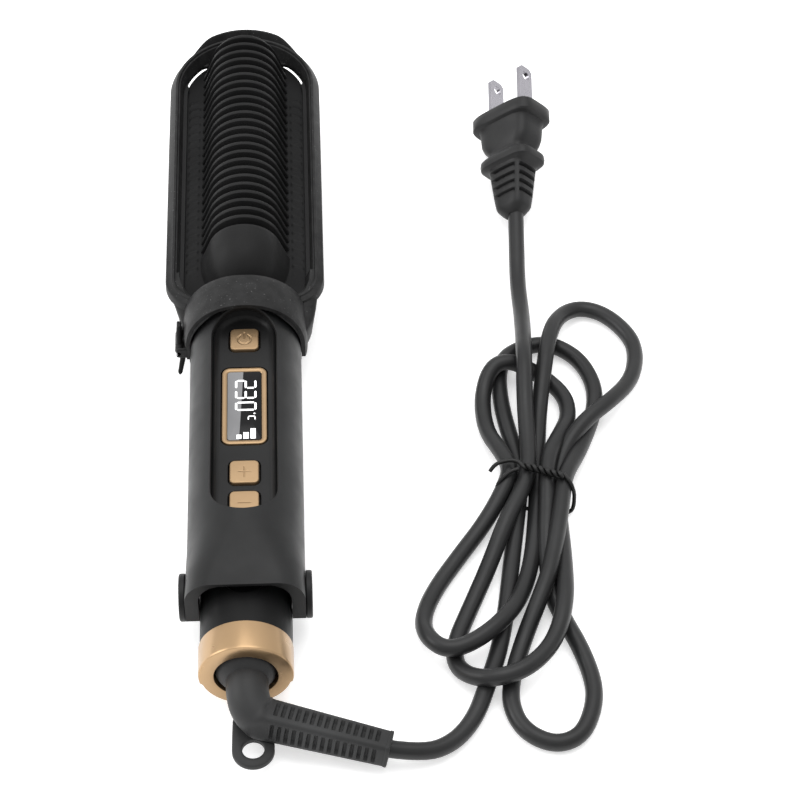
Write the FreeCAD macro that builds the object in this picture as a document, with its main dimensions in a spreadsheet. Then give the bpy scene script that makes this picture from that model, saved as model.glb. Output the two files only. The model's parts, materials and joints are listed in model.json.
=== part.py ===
import FreeCAD, Part
import math
import os
import re

import Sketcher
from FreeCAD import Vector

# A heated straightening comb: a handle with a finned, heated ridge at its far end, and a hinged upper arm
# that closes a ring frame round the ridge. Millimetres, +Z up. The handle runs along Y: its cord end is at
# -Y and the tip of the ring frame at +Y. The origin is under the middle of the tool, on the table.
# Formulas count Y stations from the cord end; every piece is then set back by half the overall length.

SIZES = [
    # alias, value, what it measures
    ("overall_length_past", 27.7, "gold ring's cord end to the tip of the finger lip: past frame_far_centre"),
    ("axis_height", 15.0, "axis of the gold ring and of the arm's hinge"),
    ("part_gap", 0.05, "play between pieces that are fixed together"),
    ("moving_gap", 0.3, "clearance between pieces that move past each other"),
    ("pivot_clearance", 0.06, "radial clearance of a pin in its running bore"),
    # gold ring and swivel
    ("ring_radius_past", 0.2, "outside of the gold ring: past body_half_width"),
    ("ring_length", 8.8, "length of the gold ring"),
    ("ring_hole_radius", 9.2, "hole that the boot's dome looks through"),
    ("ring_end_wall", 1.8, "end wall round that hole"),
    ("ring_wall", 1.3, "wall of the ring's barrel"),
    ("ring_edge", 0.6, "bevel on the ring's outer edges"),
    ("stem_radius", 4.0, "stem of the boot in its bearing"),
    ("stem_end", 14.2, "station where the stem ends"),
    ("flange_radius", 10.5, "flange that keeps the boot in the ring"),
    ("flange_thickness", 2.0, "thickness of that flange"),
    ("hub_radius", 8.0, "hub of the swivel seat, clamped by the shells"),
    ("hub_bore_radius", 6.0, "room for the slip rings in the hub"),
    ("hub_length", 6.6, "hub length past the ring"),
    ("slip_ring_depth", 0.65, "radial thickness of a slip ring"),
    ("slip_ring_width", 1.2, "width of a slip ring"),
    ("slip_ring_first", 9.8, "station of the first slip ring"),
    ("slip_ring_pitch", 2.4, "pitch of the two slip rings"),
    ("brush_radius", 0.9, "radius of a contact brush"),
    ("brush_length", 3.0, "length of a contact brush"),
    # upper half of the handle
    ("parting_height", 13.3, "joint between the two halves of the handle"),
    ("body_end_past", 2.5, "station where the handle meets the heated end: past frame_near"),
    ("body_wall", 1.7, "wall of the upper shell"),
    ("body_half_width", 13.3, "half the width of the upper shell"),
    ("barrel_top", 26.6, "top of the upper shell near the ring"),
    ("barrel_corner", 12.0, "its corner radius there"),
    ("barrel_end_past", 4.0, "station where the shell starts to rise: past hinge_station"),
    ("body_start_past", 12.0, "station where the rise ends: past barrel_end"),
    ("body_top", 29.2, "top of the upper shell beside the panel"),
    ("body_corner", 8.5, "its corner radius there"),
    ("trough_near", 18.5, "cord end of the trough for the panel"),
    ("trough_far_past", 3.6, "far end of the trough: past panel_far"),
    ("trough_top_half_width_short", 3.4, "half width of the trough at its mouth: short of body_half_width"),
    ("trough_half_width_short", 3.2, "half width at its floor: short of trough_top_half_width"),
    ("trough_height", 24.6, "height of the trough's floor"),
    ("trough_floor", 1.6, "thickness of that floor"),
    ("floor_window_margin", 0.9, "ledge that the panel rests on"),
    # lower half of the handle
    ("shell_wall", 1.8, "wall of the lower shells"),
    ("barrel_half_width_past", 0.1, "half width of the lower shell near the ring: past body_half_width"),
    ("barrel_bottom", 1.9, "its underside there"),
    ("barrel_lower_corner", 11.0, "its corner radius there"),
    ("flare_start_past", 8.0, "station where the lower shell starts to widen: past hinge_station"),
    ("flare_end_past", 11.0, "station where it is full width: past flare_start"),
    ("base_half_width_short", 0.1, "half width of the lower shell's grip: short of cover_half_width"),
    ("base_corner", 10.5, "corner radius along the grip"),
    ("ledge_thickness", 1.6, "ledge beside the upper shell"),
    # heated end
    ("head_half_width_past", 2.3, "half width of the housing under the heat plate: past base_half_width"),
    ("head_taper_end_past", 10.0, "station where the neck has widened to it: past body_end"),
    ("head_corner", 8.5, "rounding of its lower edge"),
    ("head_top", 19.2, "height at which the heat plate lies"),
    ("head_far_centre_past", 0.2, "centre of the housing's round end: past frame_far_centre"),
    ("plate_thickness", 1.8, "heat plate"),
    ("plate_half_width_past", 0.1, "half width of the heat plate: past head_half_width"),
    ("plate_near_corner", 14.0, "radius of the plate's corners at the neck"),
    ("tooth_pitch", 3.76, "pitch of the fins and of the ribs beside them"),
    ("tooth_count", 24, "number of fins"),
    ("first_tooth_past", 6.0, "station of the first fin: past rim_station"),
    ("fin_thickness", 1.5, "thickness of a fin"),
    ("fin_depth", 3.6, "how far the fins stand out of the ridge's core"),
    ("ridge_half_width", 14.3, "half width of the ridge at the plate"),
    ("crown_radius", 11.8, "radius of the ridge's crown"),
    ("crown_height", 25.0, "height of that radius's centre"),
    ("rim_station_past", 17.2, "station of the rim between the dome and the fins: past body_end"),
    ("rim_thickness", 1.6, "thickness of that rim"),
    ("dome_length", 16.0, "length of the smooth dome"),
    ("dome_inset", 0.7, "how far the dome lies inside the rim"),
    ("rib_inner_past", 0.7, "inner end of the side ribs: past ridge_half_width"),
    ("rib_outer_short", 0.6, "outer end of the side ribs: short of plate_half_width"),
    ("rib_height", 1.2, "height of the side ribs"),
    ("rib_thickness", 1.5, "thickness of the side ribs"),
    ("channel_half_width", 7.0, "half width of the heater's channel"),
    ("channel_near_past", 0.8, "near end of the heater's channel: past first_tooth"),
    ("channel_far_past", 3.0, "far end of the heater's channel: past head_far_centre"),
    ("clamp_thickness", 1.5, "plate that presses the heater up"),
    ("insulation_thickness", 1.2, "sheet under the heater"),
    ("heater_thickness", 5.0, "heating element"),
    ("plate_opening_margin", 1.5, "ledge of the heat plate under the clamp"),
    # sleeve of the upper arm
    ("cover_near_short", 7.7, "cord end of the sleeve: short of hinge_station"),
    ("cover_far_past", 6.0, "far end of the sleeve: past window_far"),
    ("cover_square_end_past", 8.0, "end of its squarer part: past hinge_station"),
    ("cover_round_start_past", 11.0, "start of its round part: past cover_square_end"),
    ("cover_near_half_width_past", 4.1, "half width of the squarer part: past body_half_width"),
    ("cover_near_inner_past", 0.9, "half width inside it: past body_half_width"),
    ("cover_near_top_past", 3.8, "top of the squarer part: past barrel_top"),
    ("cover_near_roof", 1.0, "its roof"),
    ("cover_near_corner", 8.0, "its corner radius"),
    ("cover_half_width_past", 4.0, "half width of the round part: past body_half_width"),
    ("cover_top_past", 3.5, "top of the round part: past body_top"),
    ("cover_corner_short", 0.4, "its corner radius: short of cover_half_width"),
    ("cover_wall", 1.2, "its wall"),
    ("window_half_width_past", 0.2, "half width of the window: past trough_top_half_width"),
    ("window_near_past", 0.6, "cord end of the window: past panel_near"),
    ("window_far_past", 1.0, "far end of the window: past trough_far"),
    # hinge of the upper arm
    ("hinge_station", 28.0, "station of the hinge axis"),
    ("ear_radius", 7.0, "ears of the sleeve and the covers on them"),
    ("cap_thickness", 1.9, "thickness of a hinge cover"),
    ("cap_edge", 0.6, "rounding of its rim"),
    ("pin_radius", 2.0, "hinge pin"),
    ("pin_inner", 9.4, "inner end of a hinge pin"),
    ("pin_seat", 0.7, "depth of the pin's end in its cover"),
    ("boss_radius", 4.2, "boss round the pin in the upper shell"),
    # saddle and ring frame
    ("saddle_near_short", 13.5, "cord end of the saddle: short of saddle_far"),
    ("saddle_far_past", 0.7, "far end of the saddle: past frame_near"),
    ("saddle_near_half_width_past", 1.8, "half width of the saddle at its cord end: past cover_half_width"),
    ("saddle_near_top_past", 3.8, "its top there: past cover_top"),
    ("saddle_far_half_width_past", 2.4, "half width of the saddle at its far end: past cover_half_width"),
    ("saddle_far_top_past", 3.3, "its top there: past cover_top"),
    ("saddle_corner_short", 0.5, "radius of its shoulders: short of saddle_near_half_width"),
    ("saddle_foot", 12.0, "lower end of its legs"),
    ("frame_half_width_past", 4.5, "half width outside the ring frame: past frame_inner"),
    ("frame_inner_past", 1.0, "half width inside the ring frame at its foot: past plate_half_width"),
    ("frame_bottom", 21.5, "underside of the ring frame"),
    ("frame_near_past", 1.5, "near end of the ring frame: past cover_far"),
    ("frame_near_corner", 12.0, "radius of its near corners"),
    ("frame_far_centre_short", 13.88, "centre of its round end: short of the last fin"),
    ("frame_skirt", 1.8, "height of its upright outer face"),
    ("frame_bevel", 2.1, "width of the slope above that face"),
    ("frame_inner_slope", 1.4, "width of the slope on its inner face"),
    ("frame_rim", 25.5, "height of its rim at the near end"),
    ("frame_tilt", 1.2, "angle at which the rim rises towards the tip, in degrees"),
    ("mouth_half_width_short", 3.2, "half width of the open near end: short of saddle_far_half_width"),
    ("mouth_waist_short", 1.4, "half width where the rails curve in: short of saddle_far_half_width"),
    ("liner_width", 0.6, "width of the frame's inner lip"),
    ("liner_height", 1.1, "height of the frame's inner lip"),
    ("lip_radius_short", 5.8, "finger lip at the tip: short of frame_half_width"),
    ("lip_wall", 1.5, "wall of the finger lip"),
    ("lip_top", 27.3, "top of the finger lip"),
    ("lip_floor", 23.0, "floor of its hollow"),
    # latch
    ("lever_near_past", 1.1, "cord end of the latch lever: past saddle_near"),
    ("lever_far_past", 8.2, "far end of the latch lever: past lever_near"),
    ("lever_pivot_across_past", 2.1, "latch pivot from the middle: past saddle_near_half_width"),
    ("lever_pivot_height", 14.5, "height of the latch pivot"),
    ("latch_pin_radius", 0.8, "latch pin"),
    ("latch_reach_past", 0.8, "how far out the catch on the lower shell reaches: past base_half_width"),
    ("lug_thickness", 1.0, "lugs that hold the latch pin"),
    # keys, display and circuit
    ("panel_thickness", 1.4, "control panel"),
    ("panel_near_past", 2.0, "cord end of the panel: past body_start"),
    ("panel_far_past", 7.0, "far end of the panel: past power_station"),
    ("panel_fit", 0.1, "gap between the panel and the trough"),
    ("key_width", 8.8, "side of a key"),
    ("key_corner", 1.6, "corner radius of a key"),
    ("key_height", 1.6, "how far a key stands above the panel"),
    ("key_crown", 0.5, "rounding of a key's top edge"),
    ("key_gap", 0.2, "gap round a key"),
    ("key_flange", 0.7, "width of the flange that keeps a key in"),
    ("key_flange_thickness", 1.0, "thickness of that flange"),
    ("key_travel", 0.8, "travel of a key"),
    ("key_stem_radius", 1.6, "stem under a key"),
    ("key_stem", 0.7, "length of that stem"),
    ("power_station_past", 11.6, "station of the power key: past display_far"),
    ("plus_station_past", 11.8, "station of the plus key: past minus_station"),
    ("minus_station_past", 7.0, "station of the minus key: past panel_near"),
    ("display_near_past", 11.2, "cord end of the display's bezel: past plus_station"),
    ("display_far_past", 30.8, "far end of the bezel: past display_near"),
    ("bezel_half_width", 6.8, "half width of the bezel"),
    ("bezel_height", 1.1, "height of the bezel above the panel"),
    ("bezel_border", 1.65, "border of the bezel"),
    ("bezel_corner", 2.5, "corner radius of the bezel"),
    ("lens_thickness", 1.6, "display window"),
    ("lens_recess", 0.2, "how far the window lies below the bezel"),
    ("board_top", 19.5, "top of the circuit board"),
    ("board_thickness", 1.2, "circuit board"),
    ("board_half_width_short", 3.1, "half width of the circuit board: short of body_half_width"),
    ("board_near_short", 0.5, "cord end of the circuit board: short of panel_near"),
    ("board_far_past", 1.6, "far end of the circuit board: past panel_far"),
    ("board_post_radius", 1.8, "posts that hold the board down"),
    ("switch_width", 6.0, "side of a switch under a key"),
    # screws and spring
    ("screw_radius", 1.4, "shank of a housing screw"),
    ("screw_head_radius", 2.6, "head of a housing screw"),
    ("screw_head_height", 2.0, "height of its head"),
    ("screw_boss_radius", 3.3, "boss round a housing screw"),
    ("screw_bite", 4.0, "length of a screw in the upper piece"),
    ("spring_width", 8.0, "leaf spring that lifts the arm"),
    ("spring_thickness", 0.4, "its thickness"),
    # cord
    ("cord_diameter", 5.2, "mains cord"),
    ("cord_arc_share", 0.45, "share of a run that its arc takes"),
    ("hank_height", 9.4, "two layers of cord in the tied hank"),
    ("tie_across", 88.6, "distance of the twist tie from the tool's middle"),
    ("tie_along", 78.5, "station of the twist tie"),
    ("tie_turn", -28.0, "turn of the twist tie on the table, in degrees"),
    ("tie_length", 27.0, "long side of the tie's band"),
    ("tie_width", 4.5, "width of the tie's band"),
    ("tie_wall", 3.0, "thickness of the tie at its ends"),
    ("boot_elbow_diameter", 12.0, "elbow of the boot"),
    ("relief_height", 10.5, "height of the ribbed relief at the boot"),
    ("relief_end_height", 9.1, "its height at the cord"),
    ("relief_slots", 14, "slots in each row of the relief"),
    ("relief_slot_pitch", 2.3, "pitch of those slots"),
    ("relief_slot_width", 1.0, "width of a slot"),
    ("relief_slot_depth", 1.3, "depth of a slot"),
    ("eyelet_radius", 3.15, "hole of the hanging eyelet"),
    ("eyelet_half_width", 5.9, "half width of the eyelet's tab"),
    ("eyelet_thickness", 2.4, "thickness of the tab"),
    ("eyelet_rim", 0.6, "raised rim round the hole"),
    # plug
    ("plug_along", 226.5, "station of the plug's flange"),
    ("plug_across", 89.8, "distance of the flange from the tool's middle"),
    ("plug_height", 15.5, "height of the flange's centre"),
    ("plug_flange_width", 25.7, "flange, long side"),
    ("plug_flange_depth", 16.8, "flange, short side"),
    ("plug_flange_thickness", 5.0, "thickness of the flange"),
    ("blade_spacing", 12.7, "standard spacing of the two blades"),
    ("blade_width", 6.35, "width of a blade"),
    ("blade_thickness", 1.5, "thickness of a blade"),
    ("blade_length", 17.0, "length of a blade outside the plug"),
    ("blade_root", 5.0, "length of a blade in the plug"),
    ("blade_hole_radius", 1.6, "hole in a blade"),
]
ALIASES = {alias for alias, _, _ in SIZES}

# Sizes and stations that follow from others.
FOLLOWING = {
    "ring_radius": "body_half_width + ring_radius_past",
    "barrel_half_width": "body_half_width + barrel_half_width_past",
    "barrel_end": "hinge_station + barrel_end_past",
    "body_start": "barrel_end + body_start_past",
    "trough_top_half_width": "body_half_width - trough_top_half_width_short",
    "trough_half_width": "trough_top_half_width - trough_half_width_short",
    "trough_far": "panel_far + trough_far_past",
    "body_end": "frame_near + body_end_past",
    "flare_start": "hinge_station + flare_start_past",
    "flare_end": "flare_start + flare_end_past",
    "base_half_width": "cover_half_width - base_half_width_short",
    "head_half_width": "base_half_width + head_half_width_past",
    "head_taper_end": "body_end + head_taper_end_past",
    "head_far_centre": "frame_far_centre + head_far_centre_past",
    "plate_half_width": "head_half_width + plate_half_width_past",
    "first_tooth": "rim_station + first_tooth_past",
    "rim_station": "body_end + rim_station_past",
    "rib_inner": "ridge_half_width + rib_inner_past",
    "rib_outer": "plate_half_width - rib_outer_short",
    "channel_near": "first_tooth + channel_near_past",
    "channel_far": "head_far_centre + channel_far_past",
    "cover_far": "window_far + cover_far_past",
    "cover_square_end": "hinge_station + cover_square_end_past",
    "cover_round_start": "cover_square_end + cover_round_start_past",
    "cover_near": "hinge_station - cover_near_short",
    "cover_near_half_width": "body_half_width + cover_near_half_width_past",
    "cover_near_inner": "body_half_width + cover_near_inner_past",
    "cover_near_top": "barrel_top + cover_near_top_past",
    "cover_half_width": "body_half_width + cover_half_width_past",
    "cover_top": "body_top + cover_top_past",
    "cover_corner": "cover_half_width - cover_corner_short",
    "window_half_width": "trough_top_half_width + window_half_width_past",
    "window_near": "panel_near + window_near_past",
    "window_far": "trough_far + window_far_past",
    "saddle_near": "saddle_far - saddle_near_short",
    "saddle_far": "frame_near + saddle_far_past",
    "saddle_near_half_width": "cover_half_width + saddle_near_half_width_past",
    "saddle_near_top": "cover_top + saddle_near_top_past",
    "saddle_far_half_width": "cover_half_width + saddle_far_half_width_past",
    "saddle_far_top": "cover_top + saddle_far_top_past",
    "saddle_corner": "saddle_near_half_width - saddle_corner_short",
    "frame_half_width": "frame_inner + frame_half_width_past",
    "frame_inner": "plate_half_width + frame_inner_past",
    "frame_near": "cover_far + frame_near_past",
    "frame_far_centre": "first_tooth + (tooth_count - 1) * tooth_pitch - frame_far_centre_short",
    "mouth_half_width": "saddle_far_half_width - mouth_half_width_short",
    "mouth_waist": "saddle_far_half_width - mouth_waist_short",
    "lip_radius": "frame_half_width - lip_radius_short",
    "lever_near": "saddle_near + lever_near_past",
    "lever_far": "lever_near + lever_far_past",
    "lever_pivot_across": "saddle_near_half_width + lever_pivot_across_past",
    "latch_reach": "base_half_width + latch_reach_past",
    "panel_near": "body_start + panel_near_past",
    "panel_far": "power_station + panel_far_past",
    "power_station": "display_far + power_station_past",
    "plus_station": "minus_station + plus_station_past",
    "minus_station": "panel_near + minus_station_past",
    "display_near": "plus_station + display_near_past",
    "display_far": "display_near + display_far_past",
    "board_half_width": "body_half_width - board_half_width_short",
    "board_near": "panel_near - board_near_short",
    "board_far": "panel_far + board_far_past",
    "overall_length": "frame_far_centre + overall_length_past",
}

doc = FreeCAD.newDocument("straightening_comb")
sheet = doc.addObject("Spreadsheet::Sheet", "dims")
for row, (alias, value, note) in enumerate(SIZES, start=1):
    sheet.set(f"A{row}", alias)
    sheet.set(f"B{row}", str(value))
    sheet.setAlias(f"B{row}", alias)
    sheet.set(f"C{row}", note)
doc.recompute()

PIECES = []


# ---------------------------------------------------------------------------------------------- helpers

def expand(formula):
    """A formula with every following size written out in the sheet's names."""
    def written_out(match):
        word = match.group()
        return "(" + expand(FOLLOWING[word]) + ")" if word in FOLLOWING else word
    return re.sub(r"[a-z]\w*", written_out, str(formula))


def size(formula):
    """The value of a formula of the sheet's names."""
    return float(sheet.evalExpression(expand(formula)))


def bind(item, target, formula):
    """Ties a property of an object to a formula of the sheet's names."""
    def prefixed(match):
        word = match.group()
        return "dims." + word if word in ALIASES else word
    item.setExpression(target, re.sub(r"[a-z]\w*", prefixed, expand(formula)))


def place(item, across, along, height):
    """Puts an object at a station of the handle."""
    bind(item, "Placement.Base.x", across)
    bind(item, "Placement.Base.y", f"{along} - overall_length / 2")
    bind(item, "Placement.Base.z", height)


def keep(item, label):
    """Makes an object one of the sub-parts that are written out."""
    item.Label = label
    PIECES.append(item)
    return item


def box(name, left, right, near, far, bottom, top):
    """A block between six faces."""
    item = doc.addObject("Part::Box", name)
    bind(item, "Length", f"({right}) - ({left})")
    bind(item, "Width", f"({far}) - ({near})")
    bind(item, "Height", f"({top}) - ({bottom})")
    place(item, left, near, bottom)
    return item


def rod(name, direction, radius, length, across, along, height):
    """A cylinder that starts at a point and runs along +X, +Y or +Z."""
    turns = {
        "x": FreeCAD.Rotation(Vector(0, 1, 0), 90),
        "y": FreeCAD.Rotation(Vector(1, 0, 0), -90),
        "z": FreeCAD.Rotation(),
    }
    item = doc.addObject("Part::Cylinder", name)
    item.Placement = FreeCAD.Placement(Vector(), turns[direction])
    bind(item, "Radius", radius)
    bind(item, "Height", length)
    place(item, across, along, height)
    return item


def join(name, items):
    """The union of several objects."""
    item = doc.addObject("Part::MultiFuse", name)
    item.Shapes = items
    item.Refine = True
    return item


def cut(name, base, tools):
    """An object less several others."""
    item = doc.addObject("Part::Cut", name)
    item.Base = base
    item.Tool = tools[0] if len(tools) == 1 else join(name + "_tools", tools)
    item.Refine = True
    return item


def group(name, items):
    """Separate solids that share one node."""
    item = doc.addObject("Part::Compound", name)
    item.Links = items
    return item


def hold(sketch, kind, geometry, point, formula):
    """Fixes one coordinate of a sketch's point to a formula."""
    index = sketch.addConstraint(Sketcher.Constraint(kind, -1, 1, geometry, point, size(formula)))
    bind(sketch, f"Constraints[{index}]", formula)


def trace(sketch, path):
    """Draws a closed path. A step is (x, y) where a straight side follows, or (x, y, centre x, centre y)
    where an arc follows that turns to the left."""
    corners = [Vector(size(step[0]), size(step[1]), 0) for step in path]
    following = corners[1:] + corners[:1]
    for step, start, end in zip(path, corners, following):
        if len(step) == 2:
            sketch.addGeometry(Part.LineSegment(start, end), False)
            continue
        centre = Vector(size(step[2]), size(step[3]), 0)
        opening = math.atan2(start.y - centre.y, start.x - centre.x)
        closing = math.atan2(end.y - centre.y, end.x - centre.x)
        if closing <= opening:
            closing += 2 * math.pi
        circle = Part.Circle(centre, Vector(0, 0, 1), (start - centre).Length)
        sketch.addGeometry(Part.ArcOfCircle(circle, opening, closing), False)
    for index, (step, start, end) in enumerate(zip(path, corners, following)):
        sketch.addConstraint(Sketcher.Constraint("Coincident", index, 2, (index + 1) % len(path), 1))
        hold(sketch, "DistanceX", index, 1, step[0])
        hold(sketch, "DistanceY", index, 1, step[1])
        if len(step) > 2:
            chord = end - start
            if abs(chord.x) > abs(chord.y):
                hold(sketch, "DistanceY", index, 3, step[3])
            else:
                hold(sketch, "DistanceX", index, 3, step[2])


def round_rectangle(left, right, low, high, radius):
    """A rectangle with four round corners."""
    return [
        (f"{left} + {radius}", low),
        (f"{right} - ({radius})", low, f"{right} - ({radius})", f"{low} + {radius}"),
        (right, f"{low} + {radius}"),
        (right, f"{high} - ({radius})", f"{right} - ({radius})", f"{high} - ({radius})"),
        (f"{right} - ({radius})", high),
        (f"{left} + {radius}", high, f"{left} + {radius}", f"{high} - ({radius})"),
        (left, f"{high} - ({radius})"),
        (left, f"{low} + {radius}", f"{left} + {radius}", f"{low} + {radius}"),
    ]


def rectangle(left, right, low, high):
    """A rectangle with sharp corners."""
    return [(left, low), (right, low), (right, high), (left, high)]


def dome_section(half, low, high, radius):
    """An upright section with round upper corners and a flat foot."""
    return [
        (f"-({half})", low),
        (half, low),
        (half, f"{high} - ({radius})", f"{half} - ({radius})", f"{high} - ({radius})"),
        (f"{half} - ({radius})", high),
        (f"{radius} - ({half})", high, f"{radius} - ({half})", f"{high} - ({radius})"),
        (f"-({half})", f"{high} - ({radius})"),
    ]


def cradle_section(half, low, high, radius):
    """An upright section with round lower corners and a flat top."""
    return [
        (f"{radius} - ({half})", low),
        (f"{half} - ({radius})", low, f"{half} - ({radius})", f"{low} + {radius}"),
        (half, f"{low} + {radius}"),
        (half, high),
        (f"-({half})", high),
        (f"-({half})", f"{low} + {radius}", f"{radius} - ({half})", f"{low} + {radius}"),
    ]


def stadium(half, near, far):
    """A slot along Y with round ends."""
    return [
        (f"-({half})", f"{near} + {half}", "0", f"{near} + {half}"),
        (half, f"{near} + {half}"),
        (half, f"{far} - ({half})", "0", f"{far} - ({half})"),
        (f"-({half})", f"{far} - ({half})"),
    ]


def paddle(half, near, corner, far_centre):
    """A plan with round near corners and a half-round far end."""
    return [
        (f"{corner} - ({half})", near),
        (f"{half} - ({corner})", near, f"{half} - ({corner})", f"{near} + {corner}"),
        (half, f"{near} + {corner}"),
        (half, far_centre, "0", far_centre),
        (f"-({half})", far_centre),
        (f"-({half})", f"{near} + {corner}", f"{corner} - ({half})", f"{near} + {corner}"),
    ]


def arch(half, foot, centre, radius):
    """A round crown whose straight sides run tangent to it down to a foot."""
    rise = f"({centre} - ({foot}))"
    reach = f"sqrt(({half})^2 + {rise}^2)"
    lean = f"(asin(({radius}) / {reach}) + atan({rise} / ({half})))"
    tangent_x = f"({radius}) * sin({lean})"
    tangent_z = f"{centre} + ({radius}) * cos({lean})"
    return [
        (f"-({half})", foot),
        (half, foot),
        (tangent_x, tangent_z, "0", centre),
        (f"-({tangent_x})", tangent_z),
    ]


def new_body(name):
    """A body set back by half the overall length, as every piece is."""
    body = doc.addObject("PartDesign::Body", name)
    bind(body, "Placement.Base.y", "-overall_length / 2")
    return body


def sketch_on(body, name, plane, offset, path):
    """A sketch on a plane through the body's origin, moved along the plane's axis to an offset."""
    sketch = body.newObject("Sketcher::SketchObject", name)
    planes = {feature.Role: feature for feature in body.Origin.OriginFeatures}
    sketch.AttachmentSupport = [(planes[plane + "_Plane"], "")]
    sketch.MapMode = "FlatFace"
    sign = "-" if plane == "XZ" else ""
    bind(sketch, "AttachmentOffset.Base.z", f"{sign}({offset})")
    trace(sketch, path)
    return sketch


def pad(body, name, plane, start, end, path):
    """Adds a prism between two offsets of a plane."""
    feature = body.newObject("PartDesign::Pad", name)
    feature.Profile = sketch_on(body, name + "_sketch", plane, start, path)
    feature.Reversed = plane == "XZ"
    bind(feature, "Length", f"({end}) - ({start})")
    return feature


def pocket(body, name, plane, start, end, path):
    """Cuts a prism between two offsets of a plane."""
    doc.recompute()
    before = body.Shape.Volume
    feature = body.newObject("PartDesign::Pocket", name)
    feature.Profile = sketch_on(body, name + "_sketch", plane, start if plane == "XZ" else end, path)
    bind(feature, "Length", f"({end}) - ({start})")
    doc.recompute()
    if body.Shape.Volume > before - 0.001:
        raise RuntimeError(f"{body.Name}: {name} cuts nothing")
    return feature


def loft(body, name, plane, stations):
    """Adds a loft through sections, given as (offset, path)."""
    sections = []
    for number, (offset, path) in enumerate(stations):
        sections.append(sketch_on(body, f"{name}_section_{number}", plane, offset, path))
    feature = body.newObject("PartDesign::AdditiveLoft", name)
    feature.Profile = sections[0]
    feature.Sections = sections[1:]
    feature.Ruled = True
    return feature


def fillet(body, name, radius, choose):
    """Rounds the edges of the body that a rule picks."""
    doc.recompute()
    tip = body.Tip
    names = []
    for number, edge in enumerate(tip.Shape.Edges, start=1):
        if choose(edge.BoundBox):
            names.append(f"Edge{number}")
    feature = body.newObject("PartDesign::Fillet", name)
    feature.Base = (tip, names)
    bind(feature, "Radius", radius)
    return feature


def lathe(name, height, profile):
    """A solid turned about the Y axis at a height. The profile lists (radius, station)."""
    body = new_body(name)
    sketch = sketch_on(body, name + "_profile", "XY", height, profile)
    feature = body.newObject("PartDesign::Revolution", name + "_turned")
    feature.Profile = sketch
    feature.ReferenceAxis = (sketch, ["V_Axis"])
    return body


def shape_piece(name, shape):
    """A sub-part whose shape is built in code, set back as the others are."""
    item = doc.addObject("Part::Feature", name)
    item.Shape = shape
    item.Placement = FreeCAD.Placement()
    bind(item, "Placement.Base.y", "-overall_length / 2")
    return keep(item, name)


# ------------------------------------------------------------------------------------ gold ring, swivel

def build_end_ring():
    keep(lathe("end_ring", "axis_height", [
        ("ring_hole_radius", "0"),
        ("ring_radius - ring_edge", "0"),
        ("ring_radius", "ring_edge"),
        ("ring_radius", "ring_length - ring_edge"),
        ("ring_radius - ring_edge", "ring_length"),
        ("ring_radius - ring_wall", "ring_length"),
        ("ring_radius - ring_wall", "ring_end_wall"),
        ("ring_hole_radius", "ring_end_wall"),
    ]), "end_ring")


SEAT_NEAR = "ring_end_wall + flange_thickness + 2 * moving_gap"
HUB_END = "ring_length + hub_length"


def build_swivel_seat():
    seat = lathe("seat_turned", "axis_height", [
        ("stem_radius + pivot_clearance", SEAT_NEAR),
        ("ring_radius - ring_wall - part_gap", SEAT_NEAR),
        ("ring_radius - ring_wall - part_gap", "ring_length"),
        ("hub_radius", "ring_length"),
        ("hub_radius", HUB_END),
        ("hub_bore_radius", HUB_END),
        ("hub_bore_radius", "ring_length"),
        ("stem_radius + pivot_clearance", "ring_length"),
    ])
    guides = []
    for number in range(2):
        station = f"slip_ring_first + {number} * slip_ring_pitch + slip_ring_width / 2"
        guides.append(rod(f"brush_guide_{number}", "x", "brush_radius + part_gap", "2 * hub_radius",
                          f"{-number} * 2 * hub_radius", station, "axis_height"))
    keep(cut("swivel_seat", seat, guides), "swivel_seat")


def build_contact_brushes():
    brushes = []
    reach = "(stem_radius + slip_ring_depth + moving_gap)"
    for number in range(2):
        station = f"slip_ring_first + {number} * slip_ring_pitch + slip_ring_width / 2"
        start = reach if number == 0 else f"-({reach} + brush_length)"
        brushes.append(rod(f"brush_{number}", "x", "brush_radius", "brush_length",
                           start, station, "axis_height"))
    keep(group("contact_brushes", brushes), "contact_brushes")


def build_slip_rings():
    rings = []
    for number in range(2):
        start = f"slip_ring_first + {number} * slip_ring_pitch"
        outer = rod(f"slip_ring_outer_{number}", "y", "stem_radius + slip_ring_depth", "slip_ring_width",
                    "0", start, "axis_height")
        inner = rod(f"slip_ring_inner_{number}", "y", "stem_radius + part_gap / 2", "slip_ring_width",
                    "0", start, "axis_height")
        rings.append(cut(f"slip_ring_{number}", outer, [inner]))
    keep(group("slip_rings", rings), "slip_rings")


# -------------------------------------------------------------------------------------- handle housings

CAVITY_TOP = "trough_height - trough_floor"
SCREW_STATIONS = ["barrel_end + 5", "board_far + 6"]
HEAD_SCREW_STATIONS = ["rim_station - 4", "channel_far + 4.4"]
PLATE_NEAR = "body_end + 2 * part_gap"
SHELL_LEDGE = "(parting_height - ledge_thickness)"
# Corner radii, each limited by the wall that it rounds.
UPPER_CORNER = "min(barrel_corner; barrel_top - parting_height - part_gap)"
UPPER_CAVITY_CORNER = f"min(barrel_corner - 3; {CAVITY_TOP} - parting_height)"
LOWER_CORNER = "min(barrel_lower_corner; parting_height - barrel_bottom - part_gap)"
LOWER_CAVITY_CORNER = ("min(barrel_lower_corner - 2 * shell_wall; "
                       f"{SHELL_LEDGE} - barrel_bottom - shell_wall - part_gap)")
GRIP_CORNER = "min(base_corner; parting_height - part_gap)"
GRIP_CAVITY_CORNER = f"min(base_corner - shell_wall; {SHELL_LEDGE} - shell_wall - part_gap)"


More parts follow.
